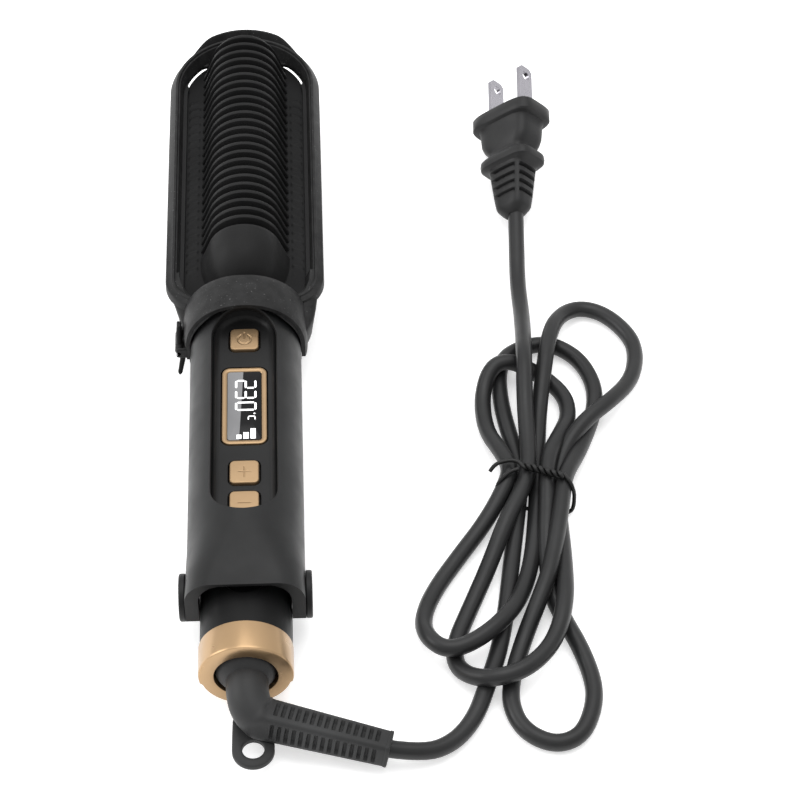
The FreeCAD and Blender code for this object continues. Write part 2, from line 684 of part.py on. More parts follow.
def build_upper_shell():
    body = new_body("upper_shell_stock")
    barrel = dome_section("body_half_width", "parting_height", "barrel_top", UPPER_CORNER)
    grip = dome_section("body_half_width", "parting_height", "body_top", "body_corner")
    pad(body, "barrel", "XZ", "ring_length", "barrel_end", barrel)
    loft(body, "rise", "XZ", [("barrel_end", barrel), ("body_start", grip)])
    pad(body, "grip", "XZ", "body_start", "body_end", grip)
    inner = "body_half_width - body_wall"
    pocket(body, "barrel_cavity", "XZ", "ring_length + 2", "body_start", dome_section(
        inner, "parting_height - 1", CAVITY_TOP, UPPER_CAVITY_CORNER))
    pocket(body, "grip_cavity", "XZ", "body_start", "body_end - 2", dome_section(
        inner, "parting_height - 1", CAVITY_TOP, "body_corner - body_wall"))
    slope = "(trough_top_half_width - trough_half_width)"
    floor_path = stadium("trough_half_width", f"trough_near + {slope}", f"trough_far - {slope}")
    mouth_path = stadium("trough_top_half_width", "trough_near", "trough_far")
    trough = new_body("trough")
    loft(trough, "trough_slope", "XY", [("trough_height", floor_path), ("body_top + 0.01", mouth_path)])
    pad(trough, "floor_window", "XY", "trough_height - trough_floor - 1", "trough_height + 0.5", rectangle(
        "floor_window_margin - trough_half_width", "trough_half_width - floor_window_margin",
        "panel_near + floor_window_margin", "panel_far - floor_window_margin"))

    extras = []
    for side in (-1, 1):
        start = "pin_inner" if side > 0 else "-(body_half_width - 0.3)"
        extras.append(rod(f"hinge_boss_{side + 1}", "x", "boss_radius", "body_half_width - 0.3 - pin_inner",
                          start, "hinge_station", "axis_height"))
        for number, station in enumerate(["board_near + 3", "board_far - 3"]):
            extras.append(rod(f"board_post_{side + 1}_{number}", "z", "board_post_radius",
                              f"{CAVITY_TOP} - board_top", f"{side} * (board_half_width - 2.4)",
                              station, "board_top"))
    for number, station in enumerate(SCREW_STATIONS):
        extras.append(rod(f"upper_screw_boss_{number}", "z", "screw_boss_radius",
                          f"{CAVITY_TOP} - parting_height", "0", station, "parting_height"))
    whole = join("upper_shell_whole", [cut("upper_tray", body, [trough])] + extras)
    bores = [
        rod("hub_hole_upper", "y", "hub_radius + part_gap", "4", "0", "ring_length - 1", "axis_height"),
        rod("hinge_bore", "x", "pin_radius + pivot_clearance", "2 * body_half_width",
            "-body_half_width", "hinge_station", "axis_height"),
    ]
    for number, station in enumerate(SCREW_STATIONS):
        bores.append(rod(f"upper_screw_bore_{number}", "z", "screw_radius + part_gap",
                         "screw_bite + part_gap", "0", station, "parting_height"))
    bores.append(rod("spring_screw_bore", "z", "screw_radius / 2 + part_gap", "trough_floor + 2",
                     "0", "body_start - 11", f"{CAVITY_TOP} - 1"))
    keep(cut("upper_shell", whole, bores), "upper_shell")


def screw_boss(name, station, bottom, top):
    """A hollow boss and the recess for a screw's head below it."""
    boss = rod(name + "_boss", "z", "screw_boss_radius", f"({top}) - ({bottom})", "0", station, bottom)
    bore = rod(name + "_bore", "z", "screw_radius + part_gap", f"({top}) - ({bottom}) + 2",
               "0", station, f"{bottom} - 1")
    recess = rod(name + "_recess", "z", "screw_head_radius + part_gap", "screw_head_height + 0.5",
                 "0", station, f"{bottom} - 0.1")
    return boss, [bore, recess]


def build_lower_shell():
    body = new_body("lower_shell_stock")
    barrel = cradle_section("barrel_half_width", "barrel_bottom", "parting_height", LOWER_CORNER)
    grip = cradle_section("base_half_width", "0", "parting_height", GRIP_CORNER)
    pad(body, "lower_barrel", "XZ", "ring_length", "flare_start", barrel)
    loft(body, "flare", "XZ", [("flare_start", barrel), ("flare_end", grip)])
    pad(body, "lower_grip", "XZ", "flare_end", "body_end", grip)
    narrow = cradle_section("barrel_half_width - shell_wall", "barrel_bottom + shell_wall", SHELL_LEDGE,
                            LOWER_CAVITY_CORNER)
    wide = cradle_section("base_half_width - shell_wall", "shell_wall", SHELL_LEDGE, GRIP_CAVITY_CORNER)
    cavity = new_body("lower_cavity")
    pad(cavity, "narrow_cavity", "XZ", "ring_length + 2", "flare_start", narrow)
    loft(cavity, "flare_cavity", "XZ", [("flare_start", narrow), ("flare_end", wide)])
    pad(cavity, "wide_cavity", "XZ", "flare_end", "body_end + 1", wide)
    inner = "body_half_width - body_wall"
    pad(cavity, "mouth", "XY", f"{SHELL_LEDGE} - 1", "parting_height + 1", rectangle(
        f"-({inner})", inner, "ring_length + 2", "body_end - 2"))

    bosses, bores = [], []
    for number, station in enumerate(SCREW_STATIONS):
        bottom = "barrel_bottom * (flare_end - barrel_end - 5) / (flare_end - flare_start)"
        boss, holes = screw_boss(f"lower_screw_{number}", station,
                                 f"{bottom}" if number == 0 else "0", "parting_height")
        bosses.append(boss)
        bores.extend(holes)
    catch = box("latch_catch", "-latch_reach", "0.6 - base_half_width", "lever_near + 1", "lever_far - 1",
                "8.2", "9.2")
    whole = join("lower_shell_whole", [cut("lower_tray", body, [cavity]), catch] + bosses)
    bores.append(rod("hub_hole_lower", "y", "hub_radius + part_gap", "4", "0", "ring_length - 1",
                     "axis_height"))
    for side in (-1, 1):
        start = "pin_inner - 1" if side > 0 else "-body_half_width - 1"
        bores.append(rod(f"boss_notch_{side + 1}", "x", "boss_radius + part_gap",
                         "body_half_width + 2 - pin_inner", start, "hinge_station", "axis_height"))
    keep(cut("lower_shell", whole, bores), "lower_shell")


def head_outline(inset):
    """Plan of the heated end: it widens from the handle's width and ends half round."""
    return [
        (f"{inset} - base_half_width", f"body_end + {inset}"),
        (f"base_half_width - ({inset})", f"body_end + {inset}"),
        (f"head_half_width - ({inset})", "head_taper_end"),
        (f"head_half_width - ({inset})", "head_far_centre", "0", "head_far_centre"),
        (f"{inset} - head_half_width", "head_far_centre"),
        (f"{inset} - head_half_width", "head_taper_end"),
    ]


def build_head_shell():
    body = new_body("head_shell_stock")
    pad(body, "head_block", "XY", "0", "head_top", head_outline("0"))

    def lower_side_edge(bounds):
        return bounds.ZMax < 0.01 and bounds.YMax > size("body_end") + 1

    fillet(body, "head_lower_edge", "head_corner", lower_side_edge)
    pocket(body, "head_cavity", "XY", "shell_wall + head_corner / 2", "head_top + 1",
           head_outline("shell_wall"))
    pocket(body, "head_floor", "XY", "shell_wall", "head_top + 1", [
        ("head_corner - base_half_width", "body_end + shell_wall"),
        ("base_half_width - head_corner", "body_end + shell_wall"),
        ("head_half_width - head_corner", "head_taper_end"),
        ("head_half_width - head_corner", "head_far_centre", "0", "head_far_centre"),
        ("head_corner - head_half_width", "head_far_centre"),
        ("head_corner - head_half_width", "head_taper_end"),
    ])
    pocket(body, "lead_hole", "XZ", "body_end - 1", "body_end + shell_wall + 1",
           round_rectangle("-6", "6", "6", "11", "1.5"))
    bosses, bores = [], []
    for number, station in enumerate(HEAD_SCREW_STATIONS):
        boss, holes = screw_boss(f"head_screw_{number}", station, "0", "head_top")
        bosses.append(boss)
        bores.extend(holes)
    whole = join("head_shell_whole", [body] + bosses)
    keep(cut("head_shell", whole, bores), "head_shell")


def build_shell_screws():
    screws = []
    bottoms = ["barrel_bottom * (flare_end - barrel_end - 5) / (flare_end - flare_start)", "0", "0", "0"]
    tops = ["parting_height", "parting_height", "head_top + plate_thickness", "head_top + plate_thickness"]
    for number, station in enumerate(SCREW_STATIONS + HEAD_SCREW_STATIONS):
        seat = f"{bottoms[number]} + 0.4"
        head = rod(f"screw_head_{number}", "z", "screw_head_radius", "screw_head_height",
                   "0", station, seat)
        shank = rod(f"screw_shank_{number}", "z", "screw_radius",
                    f"{tops[number]} + screw_bite - ({seat})", "0", station, seat)
        screws.append(join(f"screw_{number}", [head, shank]))
    keep(group("shell_screws", screws), "shell_screws")


# ------------------------------------------------------------------------------- panel, keys and display

PANEL_TOP = "trough_height + panel_thickness"
KEYS = [
    ("power_button", "power_station"),
    ("plus_button", "plus_station"),
    ("minus_button", "minus_station"),
]


def key_outline(station, margin):
    """Plan of a square key, grown by a margin."""
    half = f"(key_width / 2 + {margin})"
    return round_rectangle(f"-{half}", half, f"{station} - {half}", f"{station} + {half}", "key_corner")


def build_control_panel():
    body = new_body("control_panel")
    half = "trough_half_width - panel_fit"
    pad(body, "panel_plate", "XY", "trough_height", PANEL_TOP, [
        (f"-({half})", "panel_near"),
        (half, "panel_near"),
        (half, f"panel_far - ({half})", "0", f"panel_far - ({half})"),
        (f"-({half})", f"panel_far - ({half})"),
    ])
    for name, station in KEYS:
        pocket(body, name + "_hole", "XY", "trough_height - 1", f"{PANEL_TOP} + 1",
               key_outline(station, "key_gap"))
    pocket(body, "display_hole", "XY", "trough_height - 1", f"{PANEL_TOP} + 1", rectangle(
        "bezel_border - bezel_half_width - part_gap", "bezel_half_width - bezel_border + part_gap",
        "display_near + bezel_border - part_gap", "display_far - bezel_border + part_gap"))
    keep(body, "control_panel")


def build_key(name, station):
    """A key with the flange under the panel that keeps it in, and the stem that reaches its switch."""
    body = new_body(name)
    flange_top = "trough_height - key_gap"
    flange_bottom = f"{flange_top} - key_flange_thickness"
    pad(body, name + "_flange", "XY", flange_bottom, flange_top, key_outline(station, "key_flange"))
    pad(body, name + "_cap", "XY", flange_top, f"{PANEL_TOP} + key_height", key_outline(station, "0"))
    pad(body, name + "_stem", "XY", f"{flange_bottom} - key_stem", flange_bottom, round_rectangle(
        "-key_stem_radius", "key_stem_radius", f"{station} - key_stem_radius",
        f"{station} + key_stem_radius", "key_stem_radius / 2"))
    top = size(f"{PANEL_TOP} + key_height")
    fillet(body, name + "_crown", "key_crown", lambda bounds: bounds.ZMin > top - 0.01)
    keep(body, name)


def build_display():
    bezel = new_body("display_bezel")
    top = f"{PANEL_TOP} + bezel_height"
    pad(bezel, "bezel_plate", "XY", PANEL_TOP, top, round_rectangle(
        "-bezel_half_width", "bezel_half_width", "display_near", "display_far", "bezel_corner"))
    pocket(bezel, "bezel_window", "XY", f"{PANEL_TOP} - 1", f"{top} + 1", rectangle(
        "bezel_border - bezel_half_width", "bezel_half_width - bezel_border",
        "display_near + bezel_border", "display_far - bezel_border"))
    keep(bezel, "display_bezel")
    lens_top = f"{top} - lens_recess"
    keep(box("display_lens", "bezel_border - bezel_half_width + part_gap",
             "bezel_half_width - bezel_border - part_gap", "display_near + bezel_border + part_gap",
             "display_far - bezel_border - part_gap", f"{lens_top} - lens_thickness", lens_top),
         "display_lens")
    keep(box("lcd_module", "bezel_border - bezel_half_width + 2 * part_gap",
             "bezel_half_width - bezel_border - 2 * part_gap", "display_near + bezel_border + 0.2",
             "display_far - bezel_border - 0.2", "board_top", f"{lens_top} - lens_thickness"),
         "lcd_module")


def build_circuit():
    board = box("board_blank", "-board_half_width", "board_half_width", "board_near", "board_far",
                "board_top - board_thickness", "board_top")
    notch = rod("board_notch", "z", "screw_boss_radius + 0.5", "board_thickness + 2", "0",
                SCREW_STATIONS[0], "board_top - board_thickness - 1")
    keep(cut("circuit_board", board, [notch]), "circuit_board")

    switches = []
    stem_bottom = "trough_height - key_gap - key_flange_thickness - key_stem"
    for name, station in KEYS:
        case = box(name + "_switch_case", "-switch_width / 2", "switch_width / 2",
                   f"{station} - switch_width / 2", f"{station} + switch_width / 2",
                   "board_top", "board_top + 1.4")
        plunger = rod(name + "_switch_plunger", "z", "key_stem_radius", f"{stem_bottom} - key_travel"
                      " - 0.1 - board_top", "0", station, "board_top")
        switches.append(join(name + "_switch", [case, plunger]))
    keep(group("tact_switches", switches), "tact_switches")

    below = "board_top - board_thickness"
    parts = [
        box("transformer", "-7", "7", "board_near + 14", "board_near + 28", f"{below} - 9", below),
        rod("capacitor", "z", "4", "9", "-5.5", "board_near + 36", f"{below} - 9"),
        box("controller_chip", "-4", "4", "board_near + 46", "board_near + 54", f"{below} - 1.4", below),
        box("triac", "-5", "5", "board_near + 66", "board_near + 70", f"{below} - 11", below),
        rod("varistor", "y", "4", "3", "6", "board_near + 34", f"{below} - 4"),
    ]
    keep(group("board_components", parts), "board_components")


# ------------------------------------------------------------------------------------------ heated end

PLATE_TOP = "head_top + plate_thickness"


def build_heat_plate():
    body = new_body("heat_plate_stock")
    pad(body, "plate", "XY", "head_top", PLATE_TOP,
        paddle("plate_half_width", PLATE_NEAR, "plate_near_corner", "head_far_centre"))
    opening = "channel_half_width - plate_opening_margin"
    pocket(body, "heater_opening", "XY", "head_top - 1", f"{PLATE_TOP} + 1", rectangle(
        f"-({opening})", opening, "channel_near + plate_opening_margin",
        "channel_far - plate_opening_margin"))
    rib = pad(body, "side_rib", "XY", PLATE_TOP, f"{PLATE_TOP} + rib_height", rectangle(
        "rib_inner", "rib_outer", "first_tooth - rib_thickness / 2", "first_tooth + rib_thickness / 2"))
    mirrored = body.newObject("PartDesign::Mirrored", "rib_pair")
    planes = {feature.Role: feature for feature in body.Origin.OriginFeatures}
    mirrored.Originals = [rib]
    mirrored.MirrorPlane = (planes["YZ_Plane"], [""])
    body.Tip = mirrored
    row = []
    for side in (-1, 1):
        for number in range(1, int(size("tooth_count")) - 3):
            station = f"first_tooth + {number} * tooth_pitch"
            left = "rib_inner" if side > 0 else "-rib_outer"
            right = "rib_outer" if side > 0 else "-rib_inner"
            row.append(box(f"rib_{side + 1}_{number}", left, right, f"{station} - rib_thickness / 2",
                           f"{station} + rib_thickness / 2", PLATE_TOP, f"{PLATE_TOP} + rib_height"))
    whole = join("plate_with_ribs", [body] + row)
    bores = []
    for number, station in enumerate(HEAD_SCREW_STATIONS):
        bores.append(rod(f"plate_screw_bore_{number}", "z", "screw_radius + part_gap",
                         "plate_thickness + 2", "0", station, "head_top - 1"))
    keep(cut("heat_plate", whole, bores), "heat_plate")


def build_comb_ridge():
    """The heated ridge: a round-backed core, a row of thin fins across it and a smooth dome at the neck."""
    body = new_body("ridge_fins")
    last = "(first_tooth + (tooth_count - 1) * tooth_pitch)"
    pad(body, "ridge_core", "XZ", "rim_station", f"{last} + fin_thickness / 2", arch(
        "ridge_half_width - fin_depth", PLATE_TOP, "crown_height", "crown_radius - fin_depth"))
    pad(body, "ridge_rim", "XZ", "rim_station - rim_thickness", "rim_station",
        arch("ridge_half_width", PLATE_TOP, "crown_height", "crown_radius"))
    fin = pad(body, "ridge_fin", "XZ", "first_tooth - fin_thickness / 2", "first_tooth + fin_thickness / 2",
              arch("ridge_half_width", PLATE_TOP, "crown_height", "crown_radius"))
    pattern = body.newObject("PartDesign::LinearPattern", "ridge_fin_row")
    axes = {feature.Role: feature for feature in body.Origin.OriginFeatures}
    pattern.Originals = [fin]
    pattern.Direction = (axes["Y_Axis"], [""])
    bind(pattern, "Length", "(tooth_count - 1) * tooth_pitch")
    bind(pattern, "Occurrences", "tooth_count")
    body.Tip = pattern

    dome = doc.addObject("Part::Ellipsoid", "ridge_dome")
    bind(dome, "Radius1", f"crown_height + crown_radius - ({PLATE_TOP}) - dome_inset")
    bind(dome, "Radius2", "ridge_half_width - dome_inset")
    bind(dome, "Radius3", "dome_length")
    place(dome, "0", "rim_station - rim_thickness / 2", PLATE_TOP)
    quarter = box("dome_quarter", "-ridge_half_width", "ridge_half_width", "rim_station - dome_length - 2",
                  "rim_station - rim_thickness / 2", PLATE_TOP, "crown_height + crown_radius")
    dome_cut = doc.addObject("Part::MultiCommon", "dome_cut")
    dome_cut.Shapes = [dome, quarter]
    ridge = join("ridge_whole", [body, dome_cut])
    channel = box("heater_channel", "-channel_half_width", "channel_half_width", "channel_near",
                  "channel_far", f"{PLATE_TOP} - 1", f"{HEATER_BOTTOM} + heater_thickness + part_gap")
    bores = [channel]
    for number, station in enumerate(HEAD_SCREW_STATIONS):
        bores.append(rod(f"ridge_screw_bore_{number}", "z", "screw_radius + part_gap",
                         "screw_bite + part_gap + 1", "0", station, f"{PLATE_TOP} - 1"))
    hollowed = cut("ridge_hollowed", ridge, bores)
    limit = new_body("ridge_limit")
    pad(limit, "ridge_limit_prism", "XY", f"{PLATE_TOP} - 1", "crown_height + crown_radius + 1", paddle(
        "(plate_half_width - 0.9)", PLATE_NEAR, "(plate_near_corner - 0.9)", "head_far_centre"))
    trimmed = doc.addObject("Part::MultiCommon", "ridge_trimmed")
    trimmed.Shapes = [hollowed, limit]
    keep(trimmed, "comb_ridge")


CLAMP_TOP = f"{PLATE_TOP} + clamp_thickness"
HEATER_BOTTOM = f"{CLAMP_TOP} + insulation_thickness"


def build_heater():
    half = "channel_half_width - 2 * part_gap"
    layers = [
        ("heater_clamp", PLATE_TOP, CLAMP_TOP, half, "0.1"),
        ("heater_insulation", CLAMP_TOP, HEATER_BOTTOM, half, "0.6"),
        ("ptc_heater", HEATER_BOTTOM, f"{HEATER_BOTTOM} + heater_thickness", "channel_half_width - 1", "2"),
    ]
    for name, bottom, top, width, inset in layers:
        keep(box(name, f"-({width})", width, f"channel_near + {inset}", f"channel_far - {inset}",
                 bottom, top), name)
    keep(rod("thermal_fuse", "y", "2", "14", "channel_half_width + 3", "channel_near + 10",
             "head_top - 2"), "thermal_fuse")
    keep(rod("temperature_sensor", "y", "1.2", "7", "-channel_half_width - 3", "channel_near + 30",
             "head_top - 1.2"), "temperature_sensor")


# ---------------------------------------------------------------------------------- sleeve of the arm

COVER_FOOT = "parting_height + moving_gap"


def build_arm_cover():
    body = new_body("arm_cover_stock")
    square = dome_section("cover_near_half_width", COVER_FOOT, "cover_near_top", "cover_near_corner")
    round_end = dome_section("cover_half_width", COVER_FOOT, "cover_top", "cover_corner")
    pad(body, "square_part", "XZ", "cover_near", "cover_square_end", square)
    loft(body, "cover_blend", "XZ", [("cover_square_end", square), ("cover_round_start", round_end)])
    pad(body, "round_part", "XZ", "cover_round_start", "cover_far", round_end)
    low = f"{COVER_FOOT} - 1"
    square_void = dome_section("cover_near_inner", low, "cover_near_top - cover_near_roof",
                               "cover_near_corner - cover_near_roof")
    round_void = dome_section("cover_half_width - cover_wall", low, "cover_top - cover_wall",
                              "cover_corner - cover_wall")
    void = new_body("arm_cover_void")
    pad(void, "square_void", "XZ", "cover_near - 1", "cover_square_end", square_void)
    loft(void, "void_blend", "XZ", [("cover_square_end", square_void), ("cover_round_start", round_void)])
    pad(void, "round_void", "XZ", "cover_round_start", "cover_far + 1", round_void)
    pad(void, "window", "XY", "cover_top - 12", "cover_top + 1",
        stadium("window_half_width", "window_near", "window_far"))
    ears = []
    for side in (-1, 1):
        start = "cover_near_inner" if side > 0 else "-cover_near_half_width"
        ears.append(rod(f"ear_{side + 1}", "x", "ear_radius", "cover_near_half_width - cover_near_inner",
                        start, "hinge_station", "axis_height"))
    whole = join("arm_cover_whole", [cut("arm_cover_tube", body, [void])] + ears)
    bore = rod("ear_bore", "x", "pin_radius + pivot_clearance", "2 * cover_near_half_width + 2",
               "-cover_near_half_width - 1", "hinge_station", "axis_height")
    keep(cut("arm_cover", whole, [bore]), "arm_cover")


def build_hinge():
    for side, word in ((-1, "left"), (1, "right")):
        pin_end = "cover_near_half_width + pin_seat"
        keep(rod(f"hinge_pin_{word}", "x", "pin_radius", f"{pin_end} - pin_inner",
                 "pin_inner" if side > 0 else f"-({pin_end})", "hinge_station", "axis_height"),
             f"hinge_pin_{word}")
        face = "cover_near_half_width + part_gap"
        start = face if side > 0 else f"-({face} + cap_thickness)"
        disc = rod(f"cap_disc_{word}", "x", "ear_radius", "cap_thickness", start, "hinge_station",
                   "axis_height")
        seat = rod(f"cap_seat_{word}", "x", "pin_radius + part_gap / 2", "pin_seat + part_gap",
                   face if side > 0 else f"-({face} + pin_seat)", "hinge_station", "axis_height")
        rounded = doc.addObject("Part::Fillet", f"cap_rounded_{word}")
        rounded.Base = disc
        doc.recompute()
        outer = size(f"{face} + cap_thickness")
        edges = []
        for number, edge in enumerate(disc.Shape.Edges, start=1):
            bounds = edge.BoundBox
            if abs(abs(bounds.Center.x) - outer) < 0.01 and bounds.XLength < 0.01:
                edges.append((number, size("cap_edge"), size("cap_edge")))
        rounded.Edges = edges
        keep(cut(f"hinge_cap_{word}", rounded, [seat]), f"hinge_cap_{word}")


# ----------------------------------------------------------------------------- saddle, frame and latch

def free_sketch(name, height, tilt, path):
    """A plan sketch at a height over station zero, tilted up towards the tip by an angle."""
    sketch = doc.addObject("Sketcher::SketchObject", name)
    sketch.Placement = FreeCAD.Placement(Vector(), FreeCAD.Rotation(Vector(1, 0, 0), 1))
    bind(sketch, "Placement.Rotation.Angle", f"({tilt}) * 1 deg")
    bind(sketch, "Placement.Base.y", "-overall_length / 2")
    bind(sketch, "Placement.Base.z", height)
    trace(sketch, path)
    return sketch


def plan_loft(name, levels):
    """A solid through plan sections, given as (height over station zero, tilt, path)."""
    sections = []
    for number, (height, tilt, path) in enumerate(levels):
        sections.append(free_sketch(f"{name}_section_{number}", height, tilt, path))
    item = doc.addObject("Part::Loft", name)
    item.Sections = sections
    item.Solid = True
    item.Ruled = True
    return item


def mouth_plan(grow):
    """Plan of the space inside the frame: an open mouth at the neck and a half-round far end."""
    waist = f"(mouth_waist + {grow})"
    mouth = f"(mouth_half_width + {grow})"
    inner = f"(frame_inner + {grow})"
    return [
        (f"-{mouth}", "frame_near - 6"),
        (mouth, "frame_near - 6"),
        (mouth, "frame_near + 0.9"),
        (waist, "frame_near + 8"),
        (inner, "frame_near + 28"),
        (inner, "frame_far_centre", "0", "frame_far_centre"),
        (f"-{inner}", "frame_far_centre"),
        (f"-{inner}", "frame_near + 28"),
        (f"-{waist}", "frame_near + 8"),
        (f"-{mouth}", "frame_near + 0.9"),
    ]


def build_ring_frame():
    """The ring frame with its saddle over the neck, its latch lugs and its finger lip."""
    rim_at_zero = "frame_rim - frame_near * tan(frame_tilt * 1 deg)"
    outline = paddle("frame_half_width", "frame_near", "frame_near_corner", "frame_far_centre")
    bevelled = paddle("(frame_half_width - frame_bevel)", "frame_near + frame_bevel",
                      "(frame_near_corner - frame_bevel)", "frame_far_centre")
    outer = plan_loft("frame_outer", [
        ("frame_bottom", "0", outline),
        ("frame_bottom + frame_skirt", "0", outline),
        (rim_at_zero, "frame_tilt", bevelled),
    ])
    void = plan_loft("frame_void", [
        ("frame_bottom - 0.01", "0", mouth_plan("0")),
        (f"{rim_at_zero} + 0.01", "frame_tilt", mouth_plan("frame_inner_slope")),
    ])

    lip_centre = "overall_length - lip_radius"
    lip = cut("finger_lip", rod("lip_outer", "z", "lip_radius", "lip_top - frame_bottom",
                                "0", lip_centre, "frame_bottom"),
              [rod("lip_hollow", "z", "lip_radius - lip_wall", "lip_top - lip_floor + 1",
                   "0", lip_centre, "lip_floor"),
               box("lip_near_half", "-2 * lip_radius", "2 * lip_radius", f"{lip_centre} - lip_radius - 1",
                   "frame_far_centre + 15", "frame_bottom - 1", "lip_top + 1")])
    rails = cut("frame_rails", join("frame_and_lip", [outer, lip]), [void])

    saddle = new_body("saddle")
    near = dome_section("saddle_near_half_width", "saddle_foot", "saddle_near_top", "saddle_corner")
    far = dome_section("saddle_far_half_width", "saddle_foot", "saddle_far_top", "saddle_corner")
    loft(saddle, "saddle_arch", "XZ", [("saddle_near", near), ("saddle_far", far)])
    pocket(saddle, "saddle_void", "XZ", "saddle_near - 1", "saddle_far + 1", dome_section(
        "cover_half_width + 2 * part_gap", "saddle_foot - 1", "cover_top + 2 * part_gap", "cover_corner"))

    joints = []
    for side in (-1, 1):
        inner, outer_face = "cover_half_width + 3 * part_gap", "saddle_far_half_width"
        joints.append(box(f"shoulder_{side + 1}", inner if side > 0 else f"-({outer_face})",
                          outer_face if side > 0 else f"-({inner})", "saddle_far - 3", "saddle_far + 3",
                          "frame_bottom", "frame_rim - 0.5"))
    boss = new_body("right_boss")
    wall = "cover_half_width + 3 * part_gap"
    pad(boss, "boss_block", "XZ", "saddle_far - 6.5", "saddle_far - 0.5", [
        (wall, "8.7"), (f"{wall} + 1.35", "8.7"), (f"{wall} + 2.75", "11.6"), (f"{wall} + 4.55", "16.4"),
        (f"{wall} + 5.55", "22.2"), (f"{wall} + 5.45", "26"),
        ("saddle_far_half_width - 3", "26"),
    ])
    pocket(boss, "boss_slit", "XZ", "saddle_far - 3.9", "saddle_far - 3.1", [
        (f"{wall} + 3.15", "8"), (f"{wall} + 7.55", "8"), (f"{wall} + 7.55", "24.5"),
        (f"{wall} + 3.75", "24.5")])
    void_again = rod_space("boss_room")

    lugs = []
    for number, start in enumerate(["lever_near - lug_thickness - moving_gap / 2",
                                    "lever_far + moving_gap / 2"]):
        lugs.append(box(f"latch_lug_{number}", "-lever_pivot_across - 1.5", "-saddle_near_half_width + 0.8",
                        start, f"{start} + lug_thickness", "lever_pivot_height - 1.7",
                        "lever_pivot_height + 1.7"))
    whole = join("ring_frame_whole", [rails, saddle, cut("right_boss_trimmed", boss, [void_again])]
                 + joints + lugs)
    pin_bore = rod("latch_pin_bore", "y", "latch_pin_radius + part_gap / 2", "lever_far - lever_near + 8",
                   "-lever_pivot_across", "lever_near - 4", "lever_pivot_height")
    keep(cut("ring_frame", whole, [pin_bore]), "ring_frame")


def rod_space(name):
    """The space of the sleeve inside the saddle."""
    body = new_body(name)
    pad(body, name + "_prism", "XZ", "saddle_near - 2", "saddle_far + 2", dome_section(
        "cover_half_width + 2 * part_gap", "saddle_foot - 6", "cover_top + 2 * part_gap", "cover_corner"))
    return body


def build_frame_liner():
    body = new_body("frame_liner")
    top = "frame_bottom + liner_height"
    inner = "(frame_inner - part_gap)"
    pad(body, "liner_band", "XY", "frame_bottom", top, [
        (f"-{inner}", "frame_near + 28"),
        (inner, "frame_near + 28"),
        (inner, "frame_far_centre", "0", "frame_far_centre"),
        (f"-{inner}", "frame_far_centre"),
    ])
    bare = "(frame_inner - part_gap - liner_width)"
    pocket(body, "liner_room", "XY", "frame_bottom - 1", f"{top} + 1", [
        (f"-{bare}", "frame_near + 20"),
        (bare, "frame_near + 20"),
        (bare, "frame_far_centre", "0", "frame_far_centre"),
        (f"-{bare}", "frame_far_centre"),
    ])
    return body


def build_latch():
    lever = new_body("latch_lever_stock")
    pad(lever, "lever_profile", "XZ", "lever_near", "lever_far", [
        ("0.1 - lever_pivot_across", "4.8"), ("0.9 - lever_pivot_across", "6.2"),
        ("-(latch_reach + moving_gap)", "6.2"), ("-(latch_reach + moving_gap)", "7.4"),
        ("1.2 - lever_pivot_across", "8.2"),
        ("-lever_pivot_across + 0.9", "lever_pivot_height - 1.6"),
        ("-lever_pivot_across + 0.9", "lever_pivot_height + 1.6"),
        ("1.3 - lever_pivot_across", "23.6"), ("-0.3 - lever_pivot_across", "23.6"),
        ("-lever_pivot_across - 1.1", "lever_pivot_height"), ("-1.0 - lever_pivot_across", "4.8"),
    ])
    bore = rod("lever_bore", "y", "latch_pin_radius + pivot_clearance", "lever_far - lever_near + 2",
               "-lever_pivot_across", "lever_near - 1", "lever_pivot_height")
    keep(cut("latch_lever", lever, [bore]), "latch_lever")
    keep(rod("latch_pin", "y", "latch_pin_radius",
             "lever_far - lever_near + 2 * lug_thickness + moving_gap", "-lever_pivot_across",
             "lever_near - lug_thickness - moving_gap / 2", "lever_pivot_height"),
         "latch_pin")


def build_spring():
    body = new_body("opening_spring_stock")
    root, heel = "body_start - 14", "body_start - 8"
    low = "trough_height"
    pad(body, "leaf", "YZ", "-spring_width / 2", "spring_width / 2", [
        (root, low), (heel, low), ("body_start + 1", f"{low} + 5.0"),
        ("body_start + 0.8", f"{low} + 5.0 + spring_thickness"),
        (f"{heel} - 0.2", f"{low} + spring_thickness"), (root, f"{low} + spring_thickness"),
    ])
    station = "body_start - 11"
    hole = rod("leaf_hole", "z", "screw_radius / 2 + part_gap", "4", "0", station, f"{low} - 1")
    keep(cut("opening_spring", body, [hole]), "opening_spring")
    head = rod("spring_screw_head", "z", "screw_radius + 0.2", "1.1", "0", station,
               f"{low} + spring_thickness")
    shank = rod("spring_screw_shank", "z", "screw_radius / 2", "trough_floor + spring_thickness",
                "0", station, CAVITY_TOP)
    keep(join("spring_screw", [head, shank]), "spring_screw")


# ------------------------------------------------------------------------------------- cord and plug

